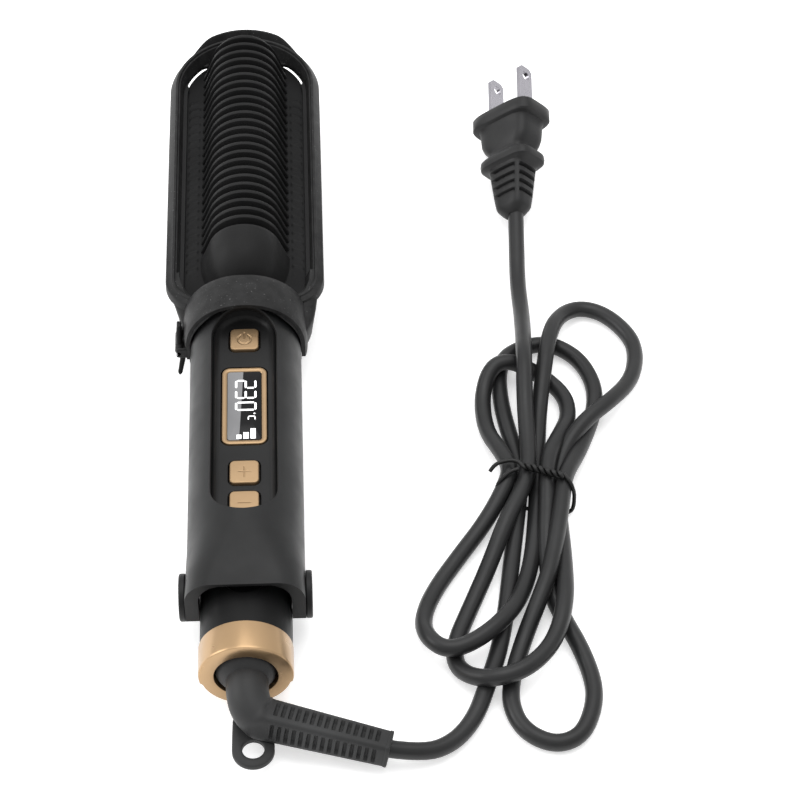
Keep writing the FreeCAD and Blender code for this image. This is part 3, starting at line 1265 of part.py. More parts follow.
def smooth_path(name, points):
    """Straight runs joined by tangent arcs, each as large as its two runs allow."""
    share = size("cord_arc_share")
    corners = [Vector(*point) for point in points]
    edges, radii, start = [], [], corners[0]
    for before, corner, after in zip(corners, corners[1:], corners[2:]):
        arriving = corner - before
        leaving = after - corner
        turn = arriving.getAngle(leaving)
        setback = share * min(arriving.Length, leaving.Length)
        radius = setback / math.tan(turn / 2)
        arriving.normalize()
        leaving.normalize()
        inward = leaving - arriving
        inward.normalize()
        entry = corner - arriving * setback
        middle = corner + inward * (radius / math.cos(turn / 2) - radius)
        leave = corner + leaving * setback
        edges.append(Part.LineSegment(start, entry).toShape())
        edges.append(Part.Arc(entry, middle, leave).toShape())
        radii.append(round(radius, 1))
        start = leave
    edges.append(Part.LineSegment(start, corners[-1]).toShape())
    print(name, "arc radii", radii)
    return Part.Wire(edges)


def tube(name, points, diameter):
    """A round tube along a path."""
    path = smooth_path(name, points)
    direction = Vector(*points[1]) - Vector(*points[0])
    profile = Part.Wire(Part.Circle(Vector(*points[0]), direction, diameter / 2).toShape())
    solid = path.makePipeShell([profile], True, False)
    section = math.pi * diameter ** 2 / 4
    print(name, "length", round(path.Length, 1), "volume", round(solid.Volume, 1),
          "section times length", round(section * path.Length, 1))
    return solid


# Routes of the cord that isn't in the hank: across, station, height.
SUPPLY_ROUTE = [
    (39.0, -21.5, 7.2), (49.5, -22.0, 4.6), (58.5, -17.5, 3.1), (65.0, -9.0, 3.0), (69.0, 2.0, 3.4),
]
PLUG_ROUTE = [
    (88.0, 134.0, 6.6), (88.5, 148.0, 4.2), (88.2, 163.0, 2.9), (88.8, 177.0, 4.6), (89.3, 191.0, 7.9),
]

# Outlines of the hank's loops: centre and radius of each loop's round end.
TIE_POINT = (88.0, 79.0, 11.0)
LOOPS = [(110.0, 137.0, 16.0), (87.0, 110.0, 15.0), (95.0, 121.0, 16.0),
         (62.0, 24.0, 13.5), (77.0, 17.0, 17.0), (87.0, -4.0, 15.0)]


def loop_solid(loop, height):
    """A flat drop shape: the tie point and a loop's round end, joined by their tangents."""
    ends = []
    for across, along, radius in (TIE_POINT, loop):
        ends.append(Part.makeCylinder(radius, height, Vector(across, along, 0)))
    start, end = Vector(*TIE_POINT[:2], 0), Vector(*loop[:2], 0)
    axis = end - start
    lean = math.acos((TIE_POINT[2] - loop[2]) / axis.Length)
    heading = math.atan2(axis.y, axis.x)
    corners = []
    for point, radius in ((start, TIE_POINT[2]), (end, loop[2])):
        for sign in (1, -1):
            angle = heading + sign * lean
            corners.append(point + Vector(math.cos(angle), math.sin(angle), 0) * radius)
    first_left, first_right, last_left, last_right = corners
    web = Part.makePolygon([first_left, last_left, last_right, first_right, first_left])
    return Part.Face(web).extrude(Vector(0, 0, height)).fuse(ends)


def build_cord():
    diameter = size("cord_diameter")
    shape_piece("supply_lead", tube("supply_lead", SUPPLY_ROUTE, diameter))
    shape_piece("plug_lead", tube("plug_lead", PLUG_ROUTE, diameter))
    height = size("hank_height")
    loops = [loop_solid(loop, height) for loop in LOOPS]
    shape_piece("cord_hank", loops[0].fuse(loops[1:]).removeSplitter())

    long_side, width, wall = size("tie_length"), size("tie_width"), size("tie_wall")
    outer = Part.makeBox(long_side, width, height + 1.4, Vector(-long_side / 2, -width / 2, 0))
    corner = Vector(wall - long_side / 2, -width / 2, 1.0)
    inner = Part.makeBox(long_side - 2 * wall, width, height - 1.4, corner)
    band = outer.cut(inner)
    band.Placement = FreeCAD.Placement(Vector(size("tie_across"), size("tie_along"), 0),
                                       FreeCAD.Rotation(Vector(0, 0, 1), size("tie_turn")))
    shape_piece("cord_tie", Part.makeCompound([band]))


def build_boot():
    """Dome and flange in the ring, stem in the bearing, elbow, ribbed relief and the hanging eyelet."""
    axis = size("axis_height")
    forward = Vector(0, 1, 0)
    gap = size("moving_gap")
    near_face = size("ring_end_wall") + gap
    thickness = size("flange_thickness")
    neck = size("ring_hole_radius") - 0.5
    base = Vector(0, near_face, axis)
    stem = Part.makeCylinder(size("stem_radius"), size("stem_end") - near_face, base, forward)
    flange = Part.makeCylinder(size("flange_radius"), thickness, base, forward)
    collar = Part.makeCylinder(neck, 2.4, Vector(0, near_face - 2.4, axis), forward)
    dome = Part.makeSphere(neck)
    dome.transformShape(FreeCAD.Placement(Vector(0, 0, axis), FreeCAD.Rotation()).toMatrix())
    dome = dome.common(Part.makeBox(40, 40, 40, Vector(-20, -40 + near_face - 2.3, axis - 20)))
    squash = FreeCAD.Matrix()
    squash.scale(1, 0.55, 1)
    dome = dome.transformGeometry(squash)

    elbow_diameter = size("boot_elbow_diameter")
    elbow = tube("boot_elbow", [(0, -1.0, axis), (0.2, -10.2, 12.2), (10.5, -15.0, 10.5)], elbow_diameter)
    solid = stem.fuse([flange, collar, dome, elbow])

    start, end = Vector(4.5, -12.3, 11.4), Vector(*SUPPLY_ROUTE[0])
    along = end - start
    length = along.Length
    side = Vector(0, 0, 1).cross(along).normalize()
    turn = FreeCAD.Rotation(along, side, Vector(0, 0, 1), "XYZ")
    near_half, far_half = size("relief_height") / 2, size("relief_end_height") / 2

    def section(distance, half):
        corner = Vector(distance, -half, half)
        face = Part.makePlane(2 * half, 2 * half, corner, Vector(1, 0, 0), Vector(0, 0, -1))
        return face.OuterWire

    relief = Part.makeLoft([section(0, near_half), section(length, far_half)], True, True)
    long_edges = [edge for edge in relief.Edges if edge.BoundBox.XLength > length / 2]
    relief = relief.makeFillet(2.2, long_edges)
    collar_box = Part.makeBox(2.6, 2 * far_half + 1.4, 2 * far_half + 1.4,
                              Vector(length - 2.6, -far_half - 0.7, -far_half - 0.7))
    relief = relief.fuse(collar_box.makeFillet(2.0, [e for e in collar_box.Edges if e.BoundBox.XLength > 2]))
    pitch, width, depth = size("relief_slot_pitch"), size("relief_slot_width"), size("relief_slot_depth")
    slots = []
    for number in range(int(size("relief_slots"))):
        distance = length - 5 - number * pitch
        for low in (near_half - depth, -near_half - 1):
            slots.append(Part.makeBox(width, 3.4, depth + 1, Vector(distance, 0.4, low)))
            slots.append(Part.makeBox(width, 3.4, depth + 1, Vector(distance, -3.8, low)))
    relief = relief.cut(slots)
    relief.Placement = FreeCAD.Placement(start, turn)
    solid = solid.fuse(relief)

    half, plate = size("eyelet_half_width"), size("eyelet_thickness")
    hole_across, hole_along, low = 1.5, -20.4, 5.2
    tab = Part.makeBox(2 * half, 11, plate, Vector(hole_across - half, hole_along, low))
    tab = tab.fuse(Part.makeCylinder(half, plate, Vector(hole_across, hole_along, low)))
    rim = Part.makeCylinder(size("eyelet_radius") + 1.3, plate + size("eyelet_rim"),
                            Vector(hole_across, hole_along, low))
    hole = Part.makeCylinder(size("eyelet_radius"), plate + 4, Vector(hole_across, hole_along, low - 2))
    solid = solid.fuse([tab, rim]).cut(hole).removeSplitter()
    shape_piece("cord_boot", solid)


# The plug's own directions: along its blades, and along the long side of its flange.
PLUG_AXIS = Vector(0.03, 0.975, 0.22)
PLUG_LONG_SIDE = Vector(0.72, 0.03, 0.69)


def plug_placement():
    base = Vector(size("plug_across"), size("plug_along - overall_length / 2"), size("plug_height"))
    return FreeCAD.Placement(base, FreeCAD.Rotation(PLUG_LONG_SIDE, Vector(), PLUG_AXIS, "ZXY"))


def plug_section(width, depth, radius):
    """A rounded rectangle across the plug."""
    return round_rectangle(f"-({width}) / 2", f"({width}) / 2", f"-({depth}) / 2", f"({depth}) / 2", radius)


def build_plug():
    body = doc.addObject("PartDesign::Body", "plug_body")
    body.Placement = plug_placement()
    face = "plug_flange_thickness / 2"
    flange = plug_section("plug_flange_width", "plug_flange_depth", "3")
    pad(body, "plug_flange", "XY", f"-{face}", face, flange)
    loft(body, "plug_grip", "XY", [
        (f"-{face} - 9", plug_section("16", "12", "3")), (f"-{face}", plug_section("20", "14", "3"))])
    pad(body, "plug_neck", "XY", f"-{face} - 15", f"-{face} - 9", plug_section("13", "10.5", "3"))
    pad(body, "plug_second_flange", "XY", f"-{face} - 18.5", f"-{face} - 14.5", plug_section("21", "14", "3"))
    loft(body, "plug_relief", "XY", [
        (f"-{face} - 34.5", plug_section("9.5", "8.5", "2.5")),
        (f"-{face} - 18.5", plug_section("14.5", "11", "2.5"))])
    for number in range(4):
        top = f"-{face} - 20.5 - {number} * 3.3"
        for side, (low, high) in enumerate((("3.6", "8"), ("-8", "-3.6"))):
            pocket(body, f"relief_slot_{number}_{side}", "XY", f"{top} - 1.4", top,
                   rectangle("-9", "9", low, high))
    keep(body, "plug_body")

    width, thickness = size("blade_width"), size("blade_thickness")
    blades = []
    for side in (-1, 1):
        across = side * size("blade_spacing") / 2
        root = size("plug_flange_thickness / 2 - blade_root")
        length = size("blade_root + blade_length")
        blade = Part.makeBox(thickness, width, length, Vector(across - thickness / 2, -width / 2, root))
        tip_edges = [e for e in blade.Edges
                     if e.BoundBox.ZMin > root + length - 0.01 and e.BoundBox.XLength > thickness / 2]
        blade = blade.makeChamfer(1.2, tip_edges)
        hole = Part.makeCylinder(size("blade_hole_radius"), 4 * thickness,
                                 Vector(across - 2 * thickness, 0, root + length - 3.6), Vector(1, 0, 0))
        blades.append(blade.cut(hole))
    item = doc.addObject("Part::Feature", "plug_blades")
    item.Shape = Part.makeCompound(blades)
    item.Placement = plug_placement()
    keep(item, "plug_blades")


def build_leads():
    """Wires inside the handle."""
    supply, heater = [], []
    for side in (-1, 1):
        across = side * (size("hub_radius") + 1.1)
        board = size("board_top") - size("board_thickness") - 0.8
        route = [(across, size("ring_length") + 3.4, 15), (across, size("ring_length") + 12, 12),
                 (side * 6.0, size("board_near") - 4, 13), (side * 6.0, size("board_near") + 5, board)]
        supply.append(tube("supply_wire", route, 1.6))
        plate_under = size("head_top") - 1.0
        route = [(side * 4.6, size("board_far") - 8, board), (side * 4.6, size("board_far"), 10),
                 (side * 4.6, size("body_end") + 4, 8.5), (side * 4.6, size("channel_near") - 2, 12),
                 (side * 4.6, size("channel_near") + 8, plate_under + 2)]
        heater.append(tube("heater_wire", route, 1.6))
    shape_piece("supply_leads", Part.makeCompound(supply))
    shape_piece("heater_leads", Part.makeCompound(heater))


def build_all():
    build_end_ring()
    build_swivel_seat()
    build_contact_brushes()
    build_slip_rings()
    build_upper_shell()
    build_lower_shell()
    build_head_shell()
    build_shell_screws()
    build_control_panel()
    for name, station in KEYS:
        build_key(name, station)
    build_display()
    build_circuit()
    build_heat_plate()
    build_comb_ridge()
    build_heater()
    build_arm_cover()
    build_hinge()
    build_ring_frame()
    keep(build_frame_liner(), "frame_liner")
    build_latch()
    build_spring()
    build_boot()
    build_cord()
    build_plug()
    build_leads()


build_all()
doc.recompute()

for item in doc.Objects:
    if "Invalid" in item.State or "Error" in item.State:
        raise RuntimeError(f"{item.Name} failed: {item.State} {item.getStatusString()}")
os.makedirs("parts", exist_ok=True)
for item in PIECES:
    shape = item.Shape
    if shape.isNull() or not shape.isValid():
        raise RuntimeError(f"{item.Label}: its shape is null or not valid")
    shape.exportStep(f"parts/{item.Label}.step")
    bounds = shape.BoundBox
    print(f"{item.Label:20s} solids {len(shape.Solids)} volume {shape.Volume:9.1f}"
          f"  x {bounds.XMin:7.2f} {bounds.XMax:7.2f}  y {bounds.YMin:8.2f} {bounds.YMax:8.2f}"
          f"  z {bounds.ZMin:6.2f} {bounds.ZMax:6.2f}")
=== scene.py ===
# %% [markdown]
# # A heated straightening comb, dressed for its portrait
# The tool has two arms that close like tongs: a handle with a finned, heated ridge at its far end, and a sleeve
# that carries a ring frame round that ridge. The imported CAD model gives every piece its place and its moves.
# This lesson adds the finish: rounded edges, fins, keys with icons, a lit display, a ribbed cord boot and a hank.

# %% Load the frame
import json
import math
import bmesh
import bpy
import numpy as np
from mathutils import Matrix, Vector

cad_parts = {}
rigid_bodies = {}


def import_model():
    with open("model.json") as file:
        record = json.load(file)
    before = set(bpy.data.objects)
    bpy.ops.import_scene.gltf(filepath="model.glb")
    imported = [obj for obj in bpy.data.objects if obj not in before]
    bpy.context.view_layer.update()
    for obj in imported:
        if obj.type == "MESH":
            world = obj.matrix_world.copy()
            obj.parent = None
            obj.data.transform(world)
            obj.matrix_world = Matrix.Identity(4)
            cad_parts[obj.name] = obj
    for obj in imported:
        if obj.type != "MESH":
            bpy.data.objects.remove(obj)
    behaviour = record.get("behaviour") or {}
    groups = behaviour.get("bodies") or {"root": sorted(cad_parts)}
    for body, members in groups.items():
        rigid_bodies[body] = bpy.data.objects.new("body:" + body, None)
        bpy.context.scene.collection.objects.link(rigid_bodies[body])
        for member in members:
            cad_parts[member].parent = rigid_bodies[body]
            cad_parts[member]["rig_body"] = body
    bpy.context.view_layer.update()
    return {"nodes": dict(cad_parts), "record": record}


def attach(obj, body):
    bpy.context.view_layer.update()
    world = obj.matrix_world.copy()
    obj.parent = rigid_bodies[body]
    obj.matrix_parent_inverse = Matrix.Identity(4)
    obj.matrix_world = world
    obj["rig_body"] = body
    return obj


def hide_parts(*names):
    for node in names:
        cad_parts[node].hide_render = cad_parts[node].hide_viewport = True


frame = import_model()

NODES = frame["nodes"]
SLOT_OF = {part["node"]: part["material_slot"] for part in frame["record"]["subparts"]}

# %% [markdown]
# ## Measures
# The pieces are measured in millimetres, and the second number of a point is its station: its distance from the
# cord end of the gold ring. The frame is in metres with its origin under the middle of the tool, so one small
# function carries points over. Stations could be kept in metres instead, but millimetres read like a drawing.

# %% From stations to the frame
MIDDLE = 131.75


def metres(points):
    """Each point (across, station, height) becomes (across, station - MIDDLE, height) / 1000."""
    return (np.asarray(points, dtype=float) - (0.0, MIDDLE, 0.0)) / 1000.0


print("the tip lies at", metres([0, 263.5, 27])[1])

# %% [markdown]
# ## Camera
# The tool is looked at from above its cord end. A long lens from less than a metre keeps the sides almost parallel.
# The camera could be aimed at an empty with a constraint, but two plain angles are easier to check.

# %% Camera
LOOK_DOWN, LOOK_RIGHT = 48.3, 2.12


def placed(name, data):
    """A new object at the origin that holds the data, linked to the scene."""
    new_object = bpy.data.objects.new(name, data)
    bpy.context.scene.collection.objects.link(new_object)
    return new_object


eye = placed("portrait_camera", bpy.data.cameras.new("portrait_camera"))
eye.data.lens, eye.data.sensor_width = 124.29, 36.0
eye.location = (0.026534, -0.596445, 0.652)
eye.rotation_euler = (math.radians(90.0 - LOOK_DOWN), 0.0, math.radians(-LOOK_RIGHT))
eye.data.clip_start, eye.data.clip_end = 0.01, 20.0
bpy.context.scene.camera = eye
print("lens", eye.data.lens)

# %% [markdown]
# ## The cord
# A mains cord is springy: it leaves the boot straight, then winds three loops each way through a twist tie and runs
# on to its plug. It could be swept from arcs, which looks like bent wire. A NURBS curve of order three rounds
# each corner by itself, so only the corners are written down, each with the height at which it passes over others.

# %% The cord's corners
to_hank = [(39.0, -21.5, 7.2), (49.5, -22.0, 4.6), (58.5, -17.5, 3.1), (65.0, -9.0, 3.0), (69.0, 2.0, 3.4),
           (73, 14, 2.7), (76, 28, 2.7), (79, 48, 2.7), (82, 67, 2.7), (84, 81, 2.7)]
upper_middle = [(82.5, 92, 2.7), (80.5, 103, 2.7), (79.5, 113, 2.7), (79.5, 123, 2.7), (81.5, 130, 2.7),
                (87, 134, 2.7), (94, 136, 2.7), (100, 134, 2.7), (106, 128, 2.7), (109.5, 118, 2.7),
                (109, 108, 2.7), (106, 99, 2.7), (102, 88, 4.6), (96.5, 76, 7.6)]
lower_right = [(95, 64, 7.6), (90, 41, 7.6), (87, 33, 6.6), (80, 17, 2.9), (75, 0, 2.7), (76.5, -10, 2.7),
               (81, -16, 2.7), (88, -19, 2.7), (95, -16, 2.7), (99, -7, 2.7), (100, 2, 2.7), (97, 15, 2.7),
               (93, 25, 2.7), (89.5, 36, 2.7), (89.5, 53, 4.0), (91, 68, 7.0), (91.5, 77, 7.6)]
upper_left = [(93, 86, 7.4), (97, 95, 5.5), (100.5, 104, 3.0), (100, 113, 2.7), (95, 120, 2.7), (89, 123, 5.0),
              (83, 124, 8.2), (77, 122, 8.0), (73.5, 113, 4.0), (74, 99, 3.5), (78, 88, 6.5), (80.6, 80, 7.6)]
lower_left = [(78, 72, 7.0), (72, 62, 4.0), (64, 51, 2.7), (55, 37, 2.7), (51, 25, 4.5), (52.5, 16, 7.6),
              (58, 11, 8.3), (66, 14, 8.2), (75, 22, 8.0), (81, 33, 5.0), (85, 47, 2.8), (87.5, 65, 2.7),
              (88.8, 78, 2.7)]
upper_right = [(89.5, 90, 2.7), (91, 105, 4.0), (93.5, 120, 8.2), (96.5, 136, 8.3), (101, 147, 4.5),
               (108, 151.5, 2.7), (116, 148, 2.7), (123, 138, 2.7), (124, 129, 2.7), (121, 117, 4.5),
               (113, 106, 7.6), (105, 98.5, 8.2), (98, 90, 5.0), (94, 77, 2.7)]
lower_middle = [(94.5, 64, 2.7), (94.5, 44, 5.0), (93.5, 28, 8.2), (89.5, 14, 7.5), (81, 4, 8.2), (71, 0.5, 8.4),
                (64, 4, 5.0), (60, 10, 2.8), (60.5, 18, 2.7), (65, 29, 2.7), (72, 45, 4.0), (78, 60, 7.4),
                (83.5, 71, 7.6), (86.2, 80, 7.6)]
to_plug = [(86.5, 92, 7.6), (86.5, 106, 9.5), (87.3, 122, 12.5), (88.0, 134.0, 8.6), (88.5, 148.0, 4.2),
           (88.2, 163.0, 2.9), (88.8, 177.0, 4.6), (89.3, 191.0, 7.9)]
corners = metres(to_hank + upper_middle + lower_right + upper_left + lower_left + upper_right + lower_middle
                 + to_plug)
print("corners", len(corners))

# %% The cord as one spline
CORD_RADIUS = 0.0026
cord_curve = bpy.data.curves.new("mains_cord", "CURVE")
cord_curve.dimensions = "3D"
spline = cord_curve.splines.new("NURBS")
spline.points.add(len(corners) - 1)
spline.points.foreach_set("co", np.column_stack([corners, np.ones(len(corners))]).ravel())
spline.order_u = 3
spline.use_endpoint_u = True
spline.resolution_u = 6
cord_curve.bevel_depth = CORD_RADIUS
cord_curve.bevel_resolution = 5
cord_curve.use_fill_caps = True
mains_cord = placed("mains_cord", cord_curve)
print("cord length in mm", round(spline.calc_length() * 1000))

# %% [markdown]
# ## Surfaces from arrays
# Most new pieces are a grid of points: one direction runs round a profile, the other along a path. Extruding and
# bending by hand would give the same shapes, but with whole arrays each formula stays in sight. One function
# turns such a grid into a mesh, and closes its seams and its ends.

# %% A grid of points becomes a mesh
def grid_faces(rows, columns, wrap_rows, wrap_columns):
    """Quads between neighbouring rows and columns; a wrapped direction also joins its last line to its first."""
    row = np.arange(rows if wrap_rows else rows - 1)[:, None]
    column = np.arange(columns if wrap_columns else columns - 1)[None, :]
    below, beside = (row + 1) % rows, (column + 1) % columns
    corners_of = (row * columns + column, below * columns + column, below * columns + beside,
                  row * columns + beside)
    return np.stack(np.broadcast_arrays(*corners_of), axis=-1).reshape(-1, 4)


def surface(name, points, wrap_rows=False):
    """points[row, column] in metres, each row a closed loop. The ends of a tube are closed by one face each."""
    points = np.asarray(points, dtype=float)
    rows, columns = points.shape[:2]
    faces = grid_faces(rows, columns, wrap_rows, True).tolist()
    if not wrap_rows:
        faces += [list(range(columns))[::-1], list(range((rows - 1) * columns, rows * columns))]
    mesh = bpy.data.meshes.new(name)
    mesh.from_pydata(points.reshape(-1, 3), [], faces)
    return finish_mesh(name, mesh)


def finish_mesh(name, mesh):
    """Merges doubled points, turns the faces outward and shades them smooth up to 35 degrees."""
    work = bmesh.new()
    work.from_mesh(mesh)
    bmesh.ops.remove_doubles(work, verts=work.verts, dist=2e-6)
    bmesh.ops.recalc_face_normals(work, faces=work.faces)
    work.to_mesh(mesh)
    work.free()
    mesh.shade_smooth()
    mesh.set_sharp_from_angle(angle=math.radians(35))
    return placed(name, mesh)


def full_turn(count):
    """Equal angles round a circle, the last one step short of the first."""
    return np.linspace(0.0, 2 * np.pi, count, endpoint=False)


print("a 3 by 4 tube has", len(grid_faces(3, 4, False, True)), "quads")

# %% [markdown]
# ## Moulded finishes
# Moulded plastic is never one flat colour. Its mould is spark-eroded, which leaves a fine grain, and its gloss and
# tone wander slightly over the surface. A picture could carry that, but noise in the piece's own coordinates has no
# seams and no size limit. Three noises do it: a wide one for the tone, a closer one for the gloss, a fine one for
# the grain.

# %% Small helpers for materials
def shader(name, roughness, metallic=0.0, **fixed):
    """A new material; every number in fixed goes to the shader's own socket of that name."""
    material = bpy.data.materials.new(name)
    material.use_nodes = True
    tree = material.node_tree
    principled = tree.nodes["Principled BSDF"]
    principled.inputs["Roughness"].default_value = roughness
    principled.inputs["Metallic"].default_value = metallic
    for socket, value in fixed.items():
        principled.inputs[socket.replace("_", " ")].default_value = value
    place = tree.nodes.new("ShaderNodeTexCoord")
    return material, tree, principled, place


def noise(tree, place, scale, detail, stretch=(1.0, 1.0, 1.0)):
    """Noise with `scale` cells per metre, stretched along each axis by its share."""
    mapping = tree.nodes.new("ShaderNodeMapping")
    mapping.inputs["Scale"].default_value = stretch
    tree.links.new(place.outputs["Object"], mapping.inputs["Vector"])
    texture = tree.nodes.new("ShaderNodeTexNoise")
    texture.inputs["Scale"].default_value = scale
    texture.inputs["Detail"].default_value = detail
    tree.links.new(mapping.outputs["Vector"], texture.inputs["Vector"])
    return texture.outputs["Fac"]


def ramp(tree, factor, stops):
    """Colour by factor; stops are (place, colour) pairs."""
    node = tree.nodes.new("ShaderNodeValToRGB")
    elements = node.color_ramp.elements
    while len(elements) < len(stops):
        elements.new(0.5)
    for element, (position, colour) in zip(elements, stops):
        element.position, element.color = position, (*colour, 1.0)
    tree.links.new(factor, node.inputs["Fac"])
    return node.outputs["Color"]


def spread(tree, factor, low, high, start=0.3, end=0.7):
    """Carries start..end to low..high; a noise lies mostly within 0.3..0.7."""
    node = tree.nodes.new("ShaderNodeMapRange")
    for socket, value in (("From Min", start), ("From Max", end), ("To Min", low), ("To Max", high)):
        node.inputs[socket].default_value = value
    tree.links.new(factor, node.inputs["Value"])
    return node.outputs["Result"]


def relief(tree, principled, height, depth):
    """Bumps of `depth` metres from a height between 0 and 1."""
    bump = tree.nodes.new("ShaderNodeBump")
    bump.inputs["Distance"].default_value = depth
    bump.inputs["Strength"].default_value = 1.0
    tree.links.new(height, bump.inputs["Height"])
    tree.links.new(bump.outputs["Normal"], principled.inputs["Normal"])


print("a socket is passed as Specular_IOR_Level for", "Specular_IOR_Level".replace("_", " "))

# %% Moulded plastic
TONE_CELLS, GLOSS_CELLS, GRAIN_CELLS = 45.0, 140.0, 1800.0     # cells of each noise in a metre


def moulded(name, colour, roughness, wander=0.25, grain=GRAIN_CELLS, depth=2e-5, stretch=(1.0, 1.0, 1.0), **fixed):
    """Tone = colour * (1 - wander .. 1 + wander) by a wide noise; gloss by another; grain in the bump."""
    material, tree, principled, place = shader(name, roughness, **fixed)
    colour = np.asarray(colour)
    low, high = tuple(colour * (1 - wander)), tuple(np.minimum(colour * (1 + wander), 1.0))
    tone = ramp(tree, noise(tree, place, TONE_CELLS, 4.0), [(0.3, low), (0.7, high)])
    tree.links.new(tone, principled.inputs["Base Color"])
    gloss = spread(tree, noise(tree, place, GLOSS_CELLS, 5.0), roughness - 0.05, roughness + 0.06)
    tree.links.new(gloss, principled.inputs["Roughness"])
    relief(tree, principled, noise(tree, place, grain, 2.0, stretch), depth)
    return material


print("grain cells per mm", GRAIN_CELLS / 1000)

# %% [markdown]
# ## A finish for every slot
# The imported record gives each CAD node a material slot. One material per slot covers every node, also those that
# nobody sees until the shells are opened. The colours are linear, so the numbers of a black are smaller than the
# ones that a paint program shows.

# %% Finishes by slot
FINISHES = {
    "gold_ring": moulded("gold_ring", (0.42, 0.28, 0.155), 0.31, 0.03, 900.0, 8e-7, (1, 0.1, 1), metallic=0.9),
    "gold_keys": moulded("gold_keys", (0.35, 0.235, 0.13), 0.38, 0.05, 1500.0, 1.2e-5, metallic=0.75),
    "black_housing": moulded("black_housing", (0.0135, 0.0137, 0.014), 0.42, Specular_IOR_Level=0.2),
    "frame_black": moulded("frame_black", (0.012, 0.012, 0.0122), 0.46, 0.3, Specular_IOR_Level=0.18),
    "liner_black": moulded("liner_black", (0.009, 0.009, 0.0092), 0.38, Specular_IOR_Level=0.15),
    "panel_black": moulded("panel_black", (0.011, 0.011, 0.0112), 0.36, grain=2600.0, depth=8e-6,
                           Specular_IOR_Level=0.18),
    "heat_black": moulded("heat_black", (0.0145, 0.0145, 0.0147), 0.5, depth=1.2e-5, Specular_IOR_Level=0.1),
    "inner_plastic": moulded("inner_plastic", (0.05, 0.05, 0.052), 0.5),
    "display_glass": moulded("display_glass", (0.012, 0.012, 0.014), 0.12, 0.1, 300.0, 2e-6),
    "board_green": moulded("board_green", (0.015, 0.11, 0.04), 0.35, 0.3, 700.0),
    "component_black": moulded("component_black", (0.02, 0.02, 0.02), 0.45, 0.4),
    "heater_metal": moulded("heater_metal", (0.55, 0.55, 0.56), 0.35, 0.12, 600.0, 1e-5, (1, 8, 1), metallic=1.0),
    "mica": moulded("mica", (0.42, 0.33, 0.2), 0.4, 0.35, 400.0, 3e-5),
    "carbon": moulded("carbon", (0.03, 0.03, 0.032), 0.6, 0.3),
    "contact_brass": moulded("contact_brass", (0.62, 0.46, 0.2), 0.3, 0.1, 700.0, 8e-6, (8, 1, 8), metallic=1.0),
    "steel": moulded("steel", (0.5, 0.5, 0.51), 0.3, 0.1, 800.0, 6e-6, (1, 1, 6), metallic=1.0),
    "wire_insulation": moulded("wire_insulation", (0.45, 0.03, 0.02), 0.4, 0.2),
    "boot_rubber": moulded("boot_rubber", (0.026, 0.0262, 0.0266), 0.5, 0.25, Specular_IOR_Level=0.22),
    "cord_jacket": moulded("cord_jacket", (0.017, 0.0172, 0.0176), 0.38, 0.25, 1200.0, 1.5e-5,
                           Specular_IOR_Level=0.28),
    "tie_black": moulded("tie_black", (0.009, 0.009, 0.009), 0.36, 0.3, Specular_IOR_Level=0.3),
    "plug_plastic": moulded("plug_plastic", (0.02, 0.02, 0.0204), 0.42, 0.25, Specular_IOR_Level=0.2),
    "blade_metal": moulded("blade_metal", (0.36, 0.35, 0.38), 0.26, 0.08, 500.0, 5e-6, (6, 1, 6), metallic=1.0),
}


def dress(piece, slot, material=None):
    """Gives the piece the finish of its slot, or a finish of its own."""
    piece.data.materials.clear()
    piece.data.materials.append(material or FINISHES[slot])
    return piece


def carried(piece, body, slot, *nodes, material=None):
    """Finish, body and the CAD nodes that the piece stands for."""
    dress(piece, slot, material)
    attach(piece, body)
    if nodes:
        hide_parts(*nodes)
    print(piece.name, "faces", len(piece.data.polygons))
    return piece


for name, slot in SLOT_OF.items():
    if not NODES[name].material_slots:
        NODES[name].data.materials.append(FINISHES[slot])
    for holder in NODES[name].material_slots:
        holder.material = FINISHES[slot]
print("finishes", len(FINISHES))

# %% [markdown]
# ## Rounded copies of the housings
# Moulded shells have a small radius on every edge, and that radius is what catches the light. Where the CAD shape is
# right already, a copy of it is merged into a clean mesh and a Bevel modifier rounds its edges. Modelling
# the shell anew would gain nothing.

# %% A rounded copy of a node
EDGE_ANGLE = math.radians(40)


def soften(piece, width, segments=3):
    """Rounds the edges that are sharper than 40 degrees, width in mm."""
    bevel = piece.modifiers.new("edge", "BEVEL")
    bevel.width, bevel.segments = width / 1000.0, segments
    bevel.limit_method, bevel.angle_limit = "ANGLE", EDGE_ANGLE
    return piece


def rounded(node, width, segments=2, material=None):
    """Copy of the node's mesh, merged, flat faces joined, sharp edges bevelled by `width` mm."""
    mesh = NODES[node].data.copy()
    mesh.name = node + "_rounded"
    work = bmesh.new()
    work.from_mesh(mesh)
    bmesh.ops.remove_doubles(work, verts=work.verts, dist=3e-6)
    bmesh.ops.dissolve_limit(work, angle_limit=math.radians(1.5), verts=work.verts, edges=work.edges)
    work.to_mesh(mesh)
    work.free()
    mesh.shade_smooth()
    mesh.set_sharp_from_angle(angle=EDGE_ANGLE)
    piece = soften(placed(node + "_rounded", mesh), width, segments)
    return carried(piece, NODES[node]["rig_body"], SLOT_OF[node], node, material=material)


# painted shade: the handle's shells get a darker copy of the housing black, for the shade they lie in under the
# sleeve
handle_painted_shade_black = moulded("handle_painted_shade_black", (0.0075, 0.0076, 0.0078), 0.42, Specular_IOR_Level=0.13)
plate_black = moulded("plate_black", (0.0105, 0.0105, 0.0108), 0.42, depth=1.2e-5, Specular_IOR_Level=0.09)
for node, width, material in (("lower_shell", 0.3, handle_painted_shade_black), ("head_shell", 0.4, handle_painted_shade_black),
                              ("upper_shell", 0.3, handle_painted_shade_black), ("shell_screws", 0.2, None),
                              ("opening_spring", 0.1, None)):
    rounded(node, width, material=material)
for node in ("hinge_cap_left", "hinge_cap_right"):
    rounded(node, 0.7, 4)
print("rounded copies made")

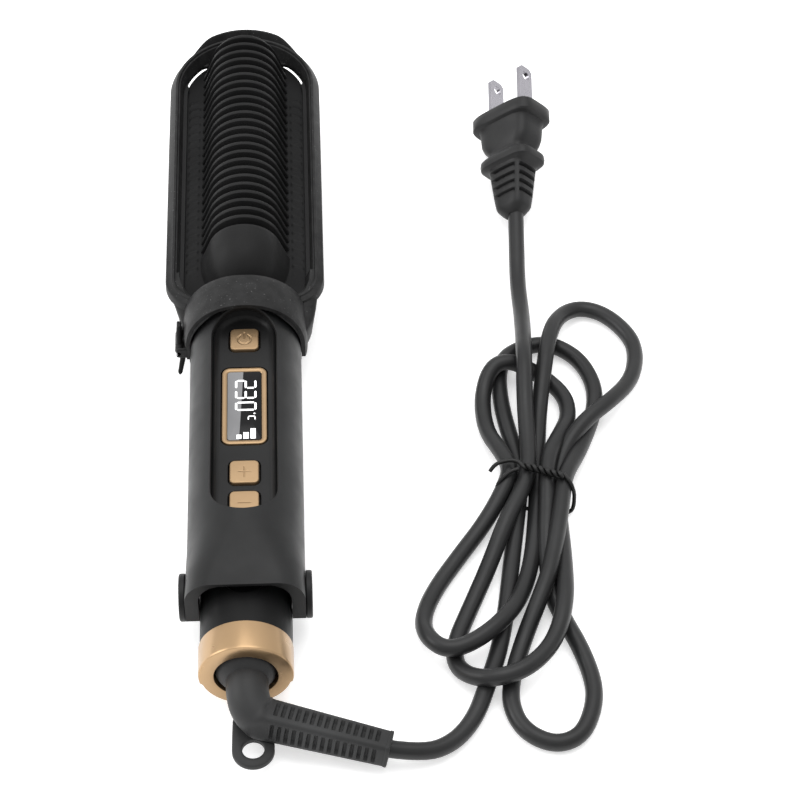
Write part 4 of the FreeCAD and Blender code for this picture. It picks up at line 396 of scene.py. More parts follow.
# %% [markdown]
# ## The sleeve
# The sleeve is one thin moulding: square at the hinge, round further on, with a long window over the keys. It could
# be a tube with the window cut out by a boolean, but the cut leaves ragged shading. Here each half is a grid whose
# last column follows the window's edge, so the wall flows round the opening.

# %% An arch by walking along it
def arch_at(walk, half_width, foot, top, corner):
    """(across, height) after a walk from the foot: up the leg, round a quarter circle, along the flat top."""
    leg = top - corner - foot
    angle = np.clip((walk - leg) / corner, 0.0, np.pi / 2)
    across = half_width - corner + corner * np.cos(angle) - np.maximum(walk - leg - corner * np.pi / 2, 0.0)
    height = np.where(walk < leg, foot + walk, top - corner + corner * np.sin(angle))
    return across, height


def walk_to(across, half_width, foot, top, corner):
    """Length of that walk up to a given distance from the middle plane."""
    angle = np.arccos(np.clip((across - half_width + corner) / corner, 0.0, 1.0))
    return top - corner - foot + corner * angle + np.maximum(half_width - corner - across, 0.0)


def arch_grid(stations, shares, edge, half_width, foot, top, corner):
    """Rows at stations, columns at shares of the walk from the foot to `edge` from the middle."""
    size = [np.broadcast_to(value, stations.shape)[:, None] for value in (half_width, foot, top, corner)]
    full = walk_to(np.broadcast_to(edge, stations.shape)[:, None], *size)
    across, height = arch_at(shares[None, :] * full, *size)
    along = np.broadcast_to(stations[:, None], across.shape)
    return metres(np.stack([across, along, height], axis=-1))


def smooth(value, start, end):
    """0 before start, 1 after end, 3t^2 - 2t^3 between."""
    share = np.clip((value - start) / (end - start), 0.0, 1.0)
    return share * share * (3.0 - 2.0 * share)


print("an arch of 17 mm is", round(float(walk_to(0, 17, 13, 33, 16)), 1), "mm from foot to crown")

# %% Two skins become a wall
def wall(name, outer, inner, mirrored=True):
    """Joins two grids of equal shape by four rims. A half is mirrored, and its faces in the middle plane go."""
    rows, columns = outer.shape[:2]
    count = rows * columns
    skin = grid_faces(rows, columns, False, False)
    border = np.concatenate([np.arange(columns), np.arange(1, rows) * columns + columns - 1,
                             (rows - 1) * columns + np.arange(columns - 2, -1, -1),
                             np.arange(rows - 2, 0, -1) * columns])
    following = np.roll(border, -1)
    rim = np.column_stack([border, following, following + count, border + count])
    points = np.concatenate([outer.reshape(-1, 3), inner.reshape(-1, 3)])
    faces = np.concatenate([skin, skin[:, ::-1] + count, rim])
    if mirrored:
        faces = faces[np.abs(points[faces][:, :, 0]).max(axis=1) > 1e-7]
        faces = np.concatenate([faces, faces[:, ::-1] + len(points)])
        points = np.concatenate([points, points * (-1.0, 1.0, 1.0)])
    mesh = bpy.data.meshes.new(name)
    mesh.from_pydata(points, [], faces.tolist())
    return finish_mesh(name, mesh)


print("halfway through a smooth step", float(smooth(0.5, 0.0, 1.0)))

# %% The sleeve's stations and wall
WINDOW_HALF, WINDOW_NEAR, WINDOW_FAR = 10.1, 56.7, 117.8     # its half width and the ends of its straight sides
WINDOW_START, WINDOW_END = 46.6, 127.9
HINGE_STATION, HINGE_HEIGHT, EAR_RADIUS = 28.0, 15.0, 7.0
turn = np.linspace(0.0, np.pi / 2, 22)
stations = np.unique(np.concatenate([
    np.linspace(20.3, 36.0, 34), np.linspace(36.0, WINDOW_START, 16), WINDOW_START + WINDOW_HALF * (1 - np.cos(turn)),
    np.linspace(WINDOW_NEAR, WINDOW_FAR, 24), WINDOW_FAR + WINDOW_HALF * np.sin(turn),
    np.linspace(WINDOW_END, 136.0, 5)]))
beyond = np.maximum(WINDOW_NEAR - stations, 0.0) + np.maximum(stations - WINDOW_FAR, 0.0)
window_edge = np.sqrt(np.maximum(WINDOW_HALF ** 2 - beyond ** 2, 0.0))
shape = smooth(stations, 20.0, 48.0)
ear = HINGE_HEIGHT - np.sqrt(np.maximum(EAR_RADIUS ** 2 - (stations - HINGE_STATION) ** 2, 0.0))
foot = np.minimum(13.6, ear)
shares = np.linspace(0.0, 1.0, 40)
outer_skin = arch_grid(stations, shares, window_edge, half_width=17.4 - 0.1 * shape, foot=foot,
                       top=30.4 + 2.3 * shape, corner=8.0 + 8.9 * shape)
inner_half = 13.46 + 2.64 * smooth(stations, 36.0, 47.0)
inner_skin = arch_grid(stations, shares, window_edge, half_width=inner_half, foot=foot,
                       top=29.4 + 2.1 * shape, corner=7.0 + 8.7 * shape)
sleeve = soften(wall("sleeve", outer_skin, inner_skin), 0.35)
carried(sleeve, "press_arm", "black_housing", "arm_cover")

# %% [markdown]
# ## The saddle
# A thick band bridges the neck and ties the ring frame to the sleeve. Its outside swells a little between its two
# edges, like a rolled cuff, and a lower, narrow collar stands before it at its two sides. The same arch grid makes
# it; only its height changes across the band. Its inside opens a little towards the thumb.

# %% The saddle
SADDLE_NEAR, SADDLE_FAR, SADDLE_WIDE = 124.7, 138.2, 13.5
collar_stations = [123.5, 123.52, 124.0, 124.55, 124.6]
COLLAR = len(collar_stations)
band_stations = np.concatenate([collar_stations, np.linspace(SADDLE_NEAR, SADDLE_FAR, 17)])
band = np.clip((band_stations - SADDLE_NEAR) / SADDLE_WIDE, 0.0, 1.0)
swell = 0.55 * (1 - np.abs(2 * band - 1) ** 5) - np.where(band_stations < 124.65, 1.1, 0.0)
saddle_shares = np.linspace(0, 1, 48)
saddle_outer = arch_grid(band_stations, saddle_shares, 0.0, half_width=18.6 + 0.6 * band + swell, foot=12.0,
                         top=36.0 - 0.5 * band + swell, corner=18.1 + 0.2 * band + swell)
flare = 1.0 - smooth(band_stations, 124.65, 128.5)
saddle_inner = arch_grid(band_stations, saddle_shares, 0.0, half_width=17.38, foot=12.0,
                         top=32.8 + 1.9 * flare, corner=16.9)
for skin in (saddle_outer, saddle_inner):
    at_side = smooth(np.abs(skin[:COLLAR, :, 0]) * 1000, 8.0, 14.0)
    skin[:COLLAR, :, 1] = skin[COLLAR, :, 1] - (skin[COLLAR, :, 1] - skin[:COLLAR, :, 1]) * (0.02 + 0.98 * at_side)
saddle = soften(wall("saddle", saddle_outer, saddle_inner), 0.4)
print("saddle faces", len(saddle.data.polygons))

# %% [markdown]
# ## The ring frame
# The frame is one rail carried round a paddle-shaped outline: a tight corner, a long side, half a circle at the tip.
# Its rim climbs by a little over one degree towards the tip and has a fine step inside. A rail like this could be
# a curve with a bevel object, but then the rim couldn't climb while the foot stays level.

# %% The outline of the frame
def paddle_path(half_width, near, corner, far_centre):
    """Points and outward directions: right corner, right side, round end, left side, left corner."""
    first = np.radians(np.linspace(-80.0, 0.0, 18))
    tip = np.radians(np.linspace(0.0, 180.0, 91))
    side = np.linspace(near + corner, far_centre, 30)[1:-1]
    right = np.column_stack([half_width - corner + corner * np.cos(first), near + corner + corner * np.sin(first)])
    round_end = np.column_stack([half_width * np.cos(tip), far_centre + half_width * np.sin(tip)])
    right_side = np.column_stack([np.full_like(side, half_width), side])
    flip = np.array([-1.0, 1.0])
    points = np.concatenate([right, right_side, round_end, (right_side * flip)[::-1], (right * flip)[::-1]])
    out_right = np.column_stack([np.cos(first), np.sin(first)])
    out_side = np.tile([1.0, 0.0], (len(side), 1))
    out = np.concatenate([out_right, out_side, np.column_stack([np.cos(tip), np.sin(tip)]),
                          out_side * flip, (out_right * flip)[::-1]])
    return points, out


def rail(name, path, out, inset, height, closed=False):
    """Section points (inset, height) carried along the path; both may change from row to row."""
    plan = path[:, None, :] - out[:, None, :] * np.broadcast_to(inset, (len(path), np.shape(inset)[-1]))[..., None]
    points = np.concatenate([plan, np.broadcast_to(height, plan.shape[:2])[..., None]], axis=-1)
    return surface(name, metres(points), wrap_rows=closed)


FRAME_HALF, FRAME_CENTRE = 25.1, 235.8
path, out = paddle_path(FRAME_HALF, near=135.3, corner=12.0, far_centre=FRAME_CENTRE)
rim = 25.5 + (path[:, 1] - 137.5) * math.tan(math.radians(1.2))
inset = np.array([0.0, 0.0, 0.2, 1.75, 2.05, 2.45, 2.8, 2.95, 3.05, 3.45, 3.65, 4.25, 4.5, 4.5])
on_rim = np.array([0, 0, 0, 1, 1, 1, 1, 1, 1, 1, 1, 0, 0, 0], dtype=float)
offset = np.array([21.5, 24.0, 24.6, -0.5, -0.12, 0.0, -0.08, -0.3, -0.75, -0.85, -1.2, 22.9, 22.5, 21.5])
rails = rail("frame_rails", path, out, inset, on_rim * rim[:, None] + offset)
print("the rim climbs from", round(rim.min(), 1), "to", round(rim.max(), 1))

# %% [markdown]
# ## The finger lip
# At the tip a dished lip gives the finger a hold. Seen from above its edge is a smaller circle that runs into the
# frame's circle through a hollow curve. A smooth maximum of the two circles, (a^p + b^p)^(1/p), draws that curve, and
# the lip's crest sinks into the frame's flank where the circles meet.

# %% The finger lip
LIP_RADIUS, LIP_CENTRE, LIP_SHIFT, LIP_POWER = 19.3, 244.2, 8.4, 13     # LIP_SHIFT is from the frame's centre
sweep = np.radians(np.linspace(20.0, 160.0, 111))
frame_edge, inner_edge = (-LIP_SHIFT * np.sin(sweep) + np.sqrt(edge ** 2 - (LIP_SHIFT * np.cos(sweep)) ** 2)
                          for edge in (FRAME_HALF, 22.9))
lip_edge = (LIP_RADIUS ** LIP_POWER + (frame_edge - 0.5) ** LIP_POWER) ** (1 / LIP_POWER)
from_side = np.degrees(np.minimum(sweep, np.pi - sweep))
crest_height = 24.3 + 3.7 * smooth(from_side, 20.0, 56.0)
dish = 2.6 * smooth(lip_edge - inner_edge, 2.0, 4.4)
lip_share = np.array([0.0, 0.0, 0.02, 0.08, 0.16, 0.26, 0.36, 0.5, 0.66, 0.8, 1.0, 1.0])
lip_fall = np.array([0.0, 0.55, 0.2, 0.0, 0.02, 0.25, 0.6, 0.95, 0.9, 0.55, 0.0, 0.0])
inner_height = 27.3 - 2.6 * (1.0 - smooth(from_side, 20.0, 50.0))
level = crest_height[:, None] * (1 - lip_share) + inner_height[:, None] * lip_share
lip_height = level - lip_fall * np.where(lip_share[None, :] < 0.1, 1.0, dish[:, None])
lip_height[:, 0] = lip_height[:, -1] = 21.6
radius = lip_edge[:, None] - (lip_edge - inner_edge)[:, None] * lip_share
lip_points = np.stack([radius * np.cos(sweep)[:, None], LIP_CENTRE + radius * np.sin(sweep)[:, None], lip_height],
                      axis=-1)
finger_lip = surface("finger_lip", metres(lip_points))
print("lip reaches", round(float(lip_points[..., 1].max()), 1))

# %% [markdown]
# ## Shoulders, lugs and one whole arm head
# Two shoulders lead from the saddle's sides out to the frame; the right one starts sooner and swells on its way.
# On the left two lugs hold the latch pin. A shoulder is a wall whose outline, foot and brow are each a smooth step
# along the tool. All these pieces are one moulding, so they are joined into one object with one finish.

# %% Shoulders and lugs
def prism(name, outline, near, far):
    """An outline of (across, height) points, drawn from station near to station far."""
    outline = np.asarray(outline, dtype=float)
    rows = [np.insert(outline, 1, station, axis=1) for station in (near, far)]
    return surface(name, metres(np.stack(rows)))


def shoulder(name, side, stations, reach, foot, brow, slant=0.0):
    """A section from foot to brow at `reach` from the middle, with a rounded shoulder that leans inward."""
    rise = brow - foot
    inset = np.array([4.3, 1.0, 0.3, 0.0, 0.0, 0.0, 0.25, 0.75, 1.5, 2.6, 4.3])
    share = np.array([0.0, 0.0, 0.08, 0.2, 0.6, 1.0, 1.0, 1.0, 1.0, 1.0, 1.0])
    lift = np.array([0.0, 0.0, 0.0, 0.0, 0.0, 0.0, 0.55, 1.05, 1.5, 1.95, 2.1])
    lean = slant * (1.0 - share)
    across = side * (reach[:, None] - inset - lean)
    height = foot[:, None] + share * rise[:, None] + lift
    along = np.broadcast_to(stations[:, None], across.shape)
    return surface(name, metres(np.stack([across, along, height], axis=-1)))


left_stations = np.linspace(128.0, 150.0, 45)
left_shoulder = shoulder("shoulder_left", -1, left_stations,
                         reach=19.6 + 5.4 * smooth(left_stations, 131.0, 149.0),
                         foot=12.1 + 9.4 * smooth(left_stations, 131.0, 143.0),
                         brow=17.5 + 5.7 * smooth(left_stations, 130.0, 146.0))
right_stations = np.linspace(126.6, 150.0, 48)
right_reach = np.interp(right_stations, [126.6, 128.5, 130.9, 132.5, 134.1, 136.0, 137.8, 140.3, 142.5, 145.0, 150.0],
                        [18.3, 19.6, 20.8, 21.4, 21.9, 22.3, 22.55, 22.9, 23.8, 24.6, 25.05])
right_shoulder = shoulder("shoulder_right", 1, right_stations, reach=right_reach,
                          foot=9.6 + 11.9 * smooth(right_stations, 134.0, 145.0),
                          brow=20.0 + 3.2 * smooth(right_stations, 128.0, 144.0), slant=1.6)
lug = [(-21.9, 13.1), (-21.9, 16.0), (-21.3, 16.4), (-18.2, 16.6), (-18.2, 12.6), (-21.3, 12.8)]
lugs = [prism("lug_near", lug, 124.65, 125.65), prism("lug_far", lug, 134.15, 135.15)]
print("the right shoulder reaches", right_reach.max())


# %% One arm head
def joined(name, pieces):
    """One object from several that share a finish."""
    bpy.ops.object.select_all(action="DESELECT")
    for piece in pieces:
        piece.select_set(True)
        bpy.context.view_layer.objects.active = piece
        for modifier in list(piece.modifiers):
            bpy.ops.object.modifier_apply(modifier=modifier.name)
    bpy.context.view_layer.objects.active = pieces[0]
    bpy.ops.object.join()
    pieces[0].name = pieces[0].data.name = name
    return pieces[0]


arm_head = joined("arm_head", [rails, finger_lip, saddle, left_shoulder, right_shoulder]
                  + [soften(piece, 0.3, 2) for piece in lugs])
print("arm head faces", len(arm_head.data.polygons))

# %% [markdown]
# ## Grainy plastic for the arm head
# This moulding is coarser than the rest: a mottled dark grey with stray pale specks. Speckles could be painted, but
# here the highest peaks of a fine noise turn pale, and another noise in the bump gives the rough touch.

# %% Grainy plastic
def grainy(name, colour, roughness):
    """Wide mottling plus a fine noise whose highest peaks turn pale."""
    material, tree, principled, place = shader(name, roughness, Specular_IOR_Level=0.15)
    colour = np.asarray(colour)
    tone = ramp(tree, noise(tree, place, 300.0, 6.0), [(0.3, tuple(colour * 0.7)), (0.7, tuple(colour * 1.35))])
    fleck = ramp(tree, noise(tree, place, 1700.0, 1.0), [(0.71, (0, 0, 0)), (0.77, (0.08, 0.08, 0.08))])
    mix = tree.nodes.new("ShaderNodeMix")
    mix.data_type, mix.blend_type = "RGBA", "ADD"
    mix.inputs["Factor"].default_value = 1.0
    tree.links.new(tone, mix.inputs["A"])
    tree.links.new(fleck, mix.inputs["B"])
    tree.links.new(mix.outputs["Result"], principled.inputs["Base Color"])
    relief(tree, principled, noise(tree, place, 1300.0, 4.0), 4e-5)
    return material


carried(arm_head, "press_arm", "frame_black", "ring_frame", material=grainy("arm_grain", (0.016, 0.016, 0.0162), 0.5))

# %% [markdown]
# ## The frame's inner lip
# A thin lip closes the gap to the heat plate along the sides and leaves a crescent open at each far corner. It is
# the same rail with a smaller section, whose inset changes round the tip.

# %% The inner lip
around = np.degrees(np.arctan2(path[:, 1] - FRAME_CENTRE, np.abs(path[:, 0])))
reach = 5.75 - 1.2 * smooth(around, 12.0, 19.0) * (1.0 - smooth(around, 44.0, 54.0))
lip_in = np.column_stack([np.full(len(path), 4.4), np.full(len(path), 4.4), reach - 0.12, reach, reach])
inner_lip = rail("inner_lip", path, out, lip_in, np.array([21.5, 22.7, 22.5, 22.3, 21.5]))
carried(inner_lip, "press_arm", "liner_black", "frame_liner")

# %% [markdown]
# ## The heat plate
# The plate under the ridge is flat in the middle, with soft slanted ribs along both sides that spread the hair. Ribs
# could be an array of small blocks, but their feet would show edges. So the plate is one height field in a paddle's
# outline: each row is as wide as the outline there, and the ribs are the square of a raised cosine of the station
# plus half the distance from the middle, faded in and out across the rib band.

# %% The heat plate's outline
PLATE_NEAR, PLATE_CORNER, PLATE_HALF, PLATE_CENTRE, PLATE_TIP = 139.0, 8.5, 19.75, 236.0, 20.05
FIRST_FIN, FIN_PITCH = 163.2, 3.76
plate_side = PLATE_NEAR + PLATE_CORNER
plate_stations = np.unique(np.concatenate([PLATE_NEAR + PLATE_CORNER * (1 - np.cos(np.linspace(0.05, np.pi / 2, 14))),
                                           np.arange(plate_side, PLATE_CENTRE, 0.4),
                                           PLATE_CENTRE + PLATE_TIP * np.sin(np.linspace(0.0, 1.5, 26))]))
near_corner = np.maximum(plate_side - plate_stations, 0.0)
round_half = PLATE_HALF - PLATE_CORNER + np.sqrt(np.maximum(PLATE_CORNER ** 2 - near_corner ** 2, 0.0))
plate_half = np.where(near_corner > 0, round_half, PLATE_HALF)
plate_half += 0.3 * smooth(plate_stations, 225.0, PLATE_CENTRE)
plate_half *= np.sqrt(1.0 - (np.maximum(plate_stations - PLATE_CENTRE, 0.0) / PLATE_TIP) ** 2)
print("plate rows", len(plate_stations), "widest", round(2 * float(plate_half.max()), 1))

# %% The heat plate's ribs
plate_share = np.concatenate([np.linspace(-1.0, -0.7, 22), np.linspace(-0.7, 0.7, 12)[1:-1],
                              np.linspace(0.7, 1.0, 22)])
plate_x = plate_half[:, None] * plate_share[None, :]
plate_y = np.broadcast_to(plate_stations[:, None], plate_x.shape)
rib_band = smooth(np.abs(plate_x), 14.8, 15.6) * (1.0 - smooth(np.abs(plate_x), 18.2, 18.9))
rib_band = rib_band * smooth(plate_y, 150.0, 154.0) * (1.0 - smooth(plate_y, 232.0, 236.0))
rib_wave = 0.5 + 0.5 * np.cos(2 * np.pi * (plate_y - FIRST_FIN + 0.5 * np.abs(plate_x)) / FIN_PITCH)
plate_z = 21.0 + 0.32 * rib_band * rib_wave ** 2
heat_plate = wall("heat_plate_ribbed", metres(np.stack([plate_x, plate_y, plate_z], -1)),
                  metres(np.stack([plate_x, plate_y, np.full_like(plate_z, 19.2)], -1)), mirrored=False)
carried(soften(heat_plate, 0.2, 2), "handle", "heat_black", "heat_plate", material=plate_black)

# %% [markdown]
# ## The comb ridge
# The ridge combs and heats the hair: 24 thin fins stand on a core, and a smooth dome leads the hair in. Fins could
# be an array of one fin, but the dome and the core would be separate. Here the whole ridge is one surface: an arch
# outline set inward by a depth that depends only on the station.

# %% The ridge's outline
base, centre, crown = np.array([14.3, 20.9]), np.array([0.0, 25.0]), 11.8
to_base = base - centre
tangent = math.atan2(to_base[1], to_base[0]) + math.acos(crown / math.hypot(*to_base))
fan = np.linspace(tangent, np.pi - tangent, 57)
flank = np.linspace(0.0, 1.0, 9)[:-1, None]
touch = centre + crown * np.array([math.cos(tangent), math.sin(tangent)])
right_flank = base + flank * (touch - base)
outline = np.concatenate([right_flank, centre + crown * np.column_stack([np.cos(fan), np.sin(fan)]),
                          (right_flank * (-1, 1))[::-1]])
normal_angle = np.concatenate([np.full(len(flank), tangent), fan, np.full(len(flank), np.pi - tangent)])
outward = np.column_stack([np.cos(normal_angle), np.sin(normal_angle)])
print("outline points", len(outline))

# %% The ridge's depth along the tool
FINS, DOME_END, DOME_LONG, DOME_POWER = 24, 159.2, 18.4, 2.5
step = np.array([-1.3, -0.88, -0.79, -0.74, -0.62, -0.35, 0.35, 0.62, 0.74, 0.79, 0.88, 1.3])
fall = np.array([3.6, 3.5, 3.2, 0.4, 0.1, 0.0, 0.0, 0.1, 0.4, 3.2, 3.5, 3.6])
teeth = FIRST_FIN + FIN_PITCH * np.arange(FINS)
fin_stations, fin_depth = (teeth[:, None] + step).ravel(), np.tile(fall, FINS)
rim_stations = np.array([DOME_END, 159.55, 159.72, 159.8, 160.2])
rim_depth = np.array([0.0, 0.12, 0.5, 3.2, 3.6])
quarter = np.linspace(np.pi / 2, 0.0, 34)[:-1]
dome_share = np.sin(quarter)
dome_stations = DOME_END - DOME_LONG * dome_share
all_stations = np.concatenate([dome_stations, rim_stations, fin_stations])
all_depth = np.concatenate([np.zeros(len(quarter)), rim_depth, fin_depth])
level_part = np.ones(len(rim_stations) + len(fin_stations))
dome_wide = (1 - dome_share ** DOME_POWER) ** (1 / DOME_POWER)
wide_scale = np.concatenate([np.maximum(dome_wide, 0.006), level_part])
high_scale = np.concatenate([np.maximum(np.cos(quarter), 0.006), level_part])
limit = np.sqrt(np.maximum(19.1 ** 2 - np.maximum(all_stations - PLATE_CENTRE, 0.0) ** 2, 1.0))
narrow = np.minimum(1.0, limit / base[0])
sections = outline[None] - outward[None] * all_depth[:, None, None] - (0.0, base[1])
across = sections[..., 0] * (narrow * wide_scale)[:, None]
ridge_points = np.stack([across, np.broadcast_to(all_stations[:, None], across.shape),
                         sections[..., 1] * high_scale[:, None] + base[1]], axis=-1)
comb = surface("comb_ridge_fins", metres(ridge_points))
carried(comb, "handle", "heat_black", "comb_ridge")

# %% [markdown]
# ## The window's rolled edge
# Where the sleeve's wall ends at the window it rolls inward, so no thin edge meets the thumb. A bevel can't roll a
# wall over, so a small section is carried round the window's outline and follows the height of the sleeve.

# %% The rolled edge
def stadium_path(half_width, near, far):
    """Points and outward directions of a slot's outline, counter-clockwise from its right side."""
    far_arc = np.linspace(0.0, np.pi, 24)
    near_arc = np.linspace(np.pi, 2 * np.pi, 24)
    side = np.linspace(near, far, 40)[1:-1]
    straight = np.tile([1.0, 0.0], (len(side), 1))
    out = np.concatenate([straight, np.column_stack([np.cos(far_arc), np.sin(far_arc)]),
                          -straight, np.column_stack([np.cos(near_arc), np.sin(near_arc)])])
    middle = np.concatenate([side, np.full(len(far_arc), far), side[::-1], np.full(len(near_arc), near)])
    return np.column_stack([np.zeros_like(middle), middle]) + out * half_width, out


slot_path, slot_out = stadium_path(WINDOW_HALF, WINDOW_NEAR, WINDOW_FAR)
crest = 15.8 + np.sqrt(16.9 ** 2 - np.maximum(np.abs(slot_path[:, 0]) - 0.4, 0.0) ** 2)
roll = rail("window_roll", slot_path, slot_out, [-0.5, -0.1, 0.16, 0.32, 0.36, 0.36, -0.5],
            crest[:, None] + np.array([-0.5, -0.1, -0.3, -0.75, -1.2, -1.9, -1.9]), closed=True)
carried(roll, "press_arm", "black_housing")
print("the roll lies between", round(crest.min() - 1.9, 1), "and", round(crest.max(), 1))

# %% [markdown]
# ## The control panel
# The panel is a moulded tray: flat between the keys, with a deep narrow gap round each key and round the display, and
# sides that sweep up the trough. One height field draws it all, because every gap is a rule about the distance to
# a rounded rectangle: distance = |max(q, 0)| + min(max(q), 0) - radius, with q the way outside the inner corner.

# %% Distances and the places of keys and display
KEY_STATIONS = {"power_button": 118.4, "plus_button": 64.8, "minus_button": 53.0}
KEY_HALF, KEY_CORNER = 4.4, 1.6
DISPLAY_MIDDLE, DISPLAY_BLOCK = 91.4, (6.8, 15.4, 2.5)     # the block is half across, half along and its corner


def to_block(across, along, half_across, half_along, radius):
    """Distance to a rounded rectangle about the origin, negative inside."""
    over = np.abs(across) - half_across + radius, np.abs(along) - half_along + radius
    outside = np.hypot(np.maximum(over[0], 0.0), np.maximum(over[1], 0.0))
    return outside + np.minimum(np.maximum(over[0], over[1]), 0.0) - radius


def close_lines(low, high, step, bands, fine):
    """Grid lines `step` apart, and `fine` apart inside the bands."""
    lines = [np.arange(low, high, step), [high]]
    lines += [np.arange(start, end, fine) for start, end in bands]
    lines = np.unique(np.round(np.concatenate(lines), 3))
    return lines[np.concatenate([[True], np.diff(lines) > 0.09])]


print("from a key's middle to its edge", to_block(0.0, 0.0, KEY_HALF, KEY_HALF, KEY_CORNER))

# %% The tray
PANEL_FACE, TRAY_HALF, CORE_FAR, GAP_FLOOR = 26.75, 8.95, 119.1, 24.95
edge_bands = [(station + side * 3.9 - 1.3, station + side * 3.9 + 1.3)
              for station in KEY_STATIONS.values() for side in (-1, 1)]
edge_bands += [(DISPLAY_MIDDLE + side * 14.6 - 1.5, DISPLAY_MIDDLE + side * 14.6 + 1.5) for side in (-1, 1)]
tray_along = close_lines(45.9, CORE_FAR + TRAY_HALF * 0.995, 1.6, edge_bands, 0.2)
tray_across = close_lines(-TRAY_HALF, TRAY_HALF, 0.55, [(-7.4, -2.8), (2.8, 7.4)], 0.2)
tray_x, tray_y = np.meshgrid(tray_across, tray_along)
tray_x = tray_x * np.sqrt(1.0 - (np.maximum(tray_y - CORE_FAR, 0.0) / TRAY_HALF) ** 2)
from_core = np.hypot(tray_x, np.maximum(tray_y - CORE_FAR, 0.0))
slope = 24.6 + (from_core - 6.7) * 1.4406
tray_z = PANEL_FACE + 0.35 * np.log1p(np.exp((slope + 0.1 - PANEL_FACE) / 0.35))
gaps = [to_block(tray_x, tray_y - station, KEY_HALF, KEY_HALF, KEY_CORNER) - 0.36
        for station in KEY_STATIONS.values()]
for gap in gaps + [to_block(tray_x, tray_y - DISPLAY_MIDDLE, *DISPLAY_BLOCK) - 0.3]:
    tray_z = GAP_FLOOR + (tray_z - GAP_FLOOR) * smooth(gap, -0.12, 0.1)
under = np.maximum(24.66, np.minimum(slope + 0.03, tray_z - 0.05))
tray = wall("panel_tray", metres(np.stack([tray_x, tray_y, tray_z], -1)),
            metres(np.stack([tray_x, tray_y, under], -1)), mirrored=False)
carried(tray, "handle", "panel_black", "control_panel")

# %% [markdown]
# ## The keys
# Each key is a square cap with round corners, a soft edge and a sunken icon: a ring with a bar for power, a cross
# and a bar for up and down. A square grid is bent into the rounded square: in each corner (u, v) becomes
# (u sqrt(1 - v^2/2), v sqrt(1 - u^2/2)), which turns the corner's square into a quarter of a disc.

# %% Rounded squares
def rounded_square(half, radius, count):
    """A count x count grid bent into a square with round corners."""
    line = np.linspace(-half, half, count)
    across, along = np.meshgrid(line, line)
    over_x = np.maximum(np.abs(across) - half + radius, 0.0) / radius
    over_y = np.maximum(np.abs(along) - half + radius, 0.0) / radius
    bent_x = over_x * np.sqrt(1.0 - over_y ** 2 / 2.0)
    bent_y = over_y * np.sqrt(1.0 - over_x ** 2 / 2.0)
    return (across - np.sign(across) * (over_x - bent_x) * radius,
            along - np.sign(along) * (over_y - bent_y) * radius)


def line_icon(across, along, start, end, half_width):
    """Distance to a straight stroke with round ends: the way to its nearest point less its half width."""
    way = np.array(end) - np.array(start)
    share = ((across - start[0]) * way[0] + (along - start[1]) * way[1]) / (way @ way)
    share = np.clip(share, 0.0, 1.0)
    return np.hypot(across - start[0] - share * way[0], along - start[1] - share * way[1]) - half_width


def power_icon(across, along):
    """An open ring: distance to its middle line, closed off near the bar; and the bar."""
    ring = np.abs(np.hypot(across, along + 0.2) - 1.95) - 0.3
    opening = 0.95 - np.where(along > 0, np.abs(across), 9.0)
    return np.minimum(np.maximum(ring, opening), line_icon(across, along, (0, 0.3), (0, 2.4), 0.24))


def plus_icon(across, along):
    """A cross of two thin strokes."""
    return np.minimum(line_icon(across, along, (-1.8, 0), (1.8, 0), 0.13),
                      line_icon(across, along, (0, -1.9), (0, 1.9), 0.2))


def minus_icon(across, along):
    """One stroke."""
    return line_icon(across, along, (-1.8, -0.2), (1.8, -0.2), 0.2)


print("half the minus stroke", -minus_icon(0.0, -0.2))

# %% The keys
KEY_TOP, KEY_FOOT, KEY_EDGE = 27.6, 25.8, 0.45


def key(name, station, body, icon):
    """Top = 27.6 less a rounded edge of radius 0.45 and the icon's groove; flat underside."""
    across, along = rounded_square(KEY_HALF, KEY_CORNER, 73)
    inside = np.minimum(-to_block(across, along, KEY_HALF, KEY_HALF, KEY_CORNER), KEY_EDGE)
    top = KEY_TOP - (KEY_EDGE - np.sqrt(np.maximum(KEY_EDGE ** 2 - (KEY_EDGE - inside) ** 2, 0.0)))
    top = top - 0.16 * (1.0 - smooth(icon(across, along), -0.12, 0.06)) - 0.004 * (across ** 2 + along ** 2)
    outer = metres(np.stack([across, along + station, top], -1))
    inner = metres(np.stack([across, along + station, np.full_like(top, KEY_FOOT)], -1))
    carried(wall(name + "_cap", outer, inner, mirrored=False), body, "gold_keys", name)


for name, body, icon in (("power_button", "power_key", power_icon), ("plus_button", "plus_key", plus_icon),
                         ("minus_button", "minus_key", minus_icon)):
    key(name, KEY_STATIONS[name], body, icon)

# %% [markdown]
# ## The display
# A half-round gold frame holds a black window. Its figures are thin raised shapes: seven-segment strokes turned a
# quarter, so that the number is read with the tool held upright, a unit and three steps of a level gauge. The left
# half of the glass is painted paler, with a slanted border: a painted reflection of glare on the glass.

# %% The gold frame
def block_path(half_across, half_along, radius, middle, count=9):
    """Outline of a rounded rectangle and its outward directions."""
    angle = np.concatenate([np.linspace(0, 90, count) + 90 * corner for corner in range(4)])
    out = np.column_stack([np.cos(np.radians(angle)), np.sin(np.radians(angle))])
    side = np.repeat([[1, 1], [-1, 1], [-1, -1], [1, -1]], count, axis=0)
    centre = side * [half_across - radius, half_along - radius] + [0.0, middle]
    return centre + out * radius, out


bezel_path, bezel_out = block_path(*DISPLAY_BLOCK, DISPLAY_MIDDLE)
bezel = rail("gold_bezel", bezel_path, bezel_out, [0.0, 0.0, 0.08, 0.3, 0.62, 0.95, 1.25, 1.5, 1.62, 1.65, 1.65],
             [25.05, 26.75, 26.95, 27.07, 27.1, 27.07, 26.98, 26.83, 26.7, 26.5, 25.05], closed=True)
carried(bezel, "handle", "gold_keys", "display_bezel")

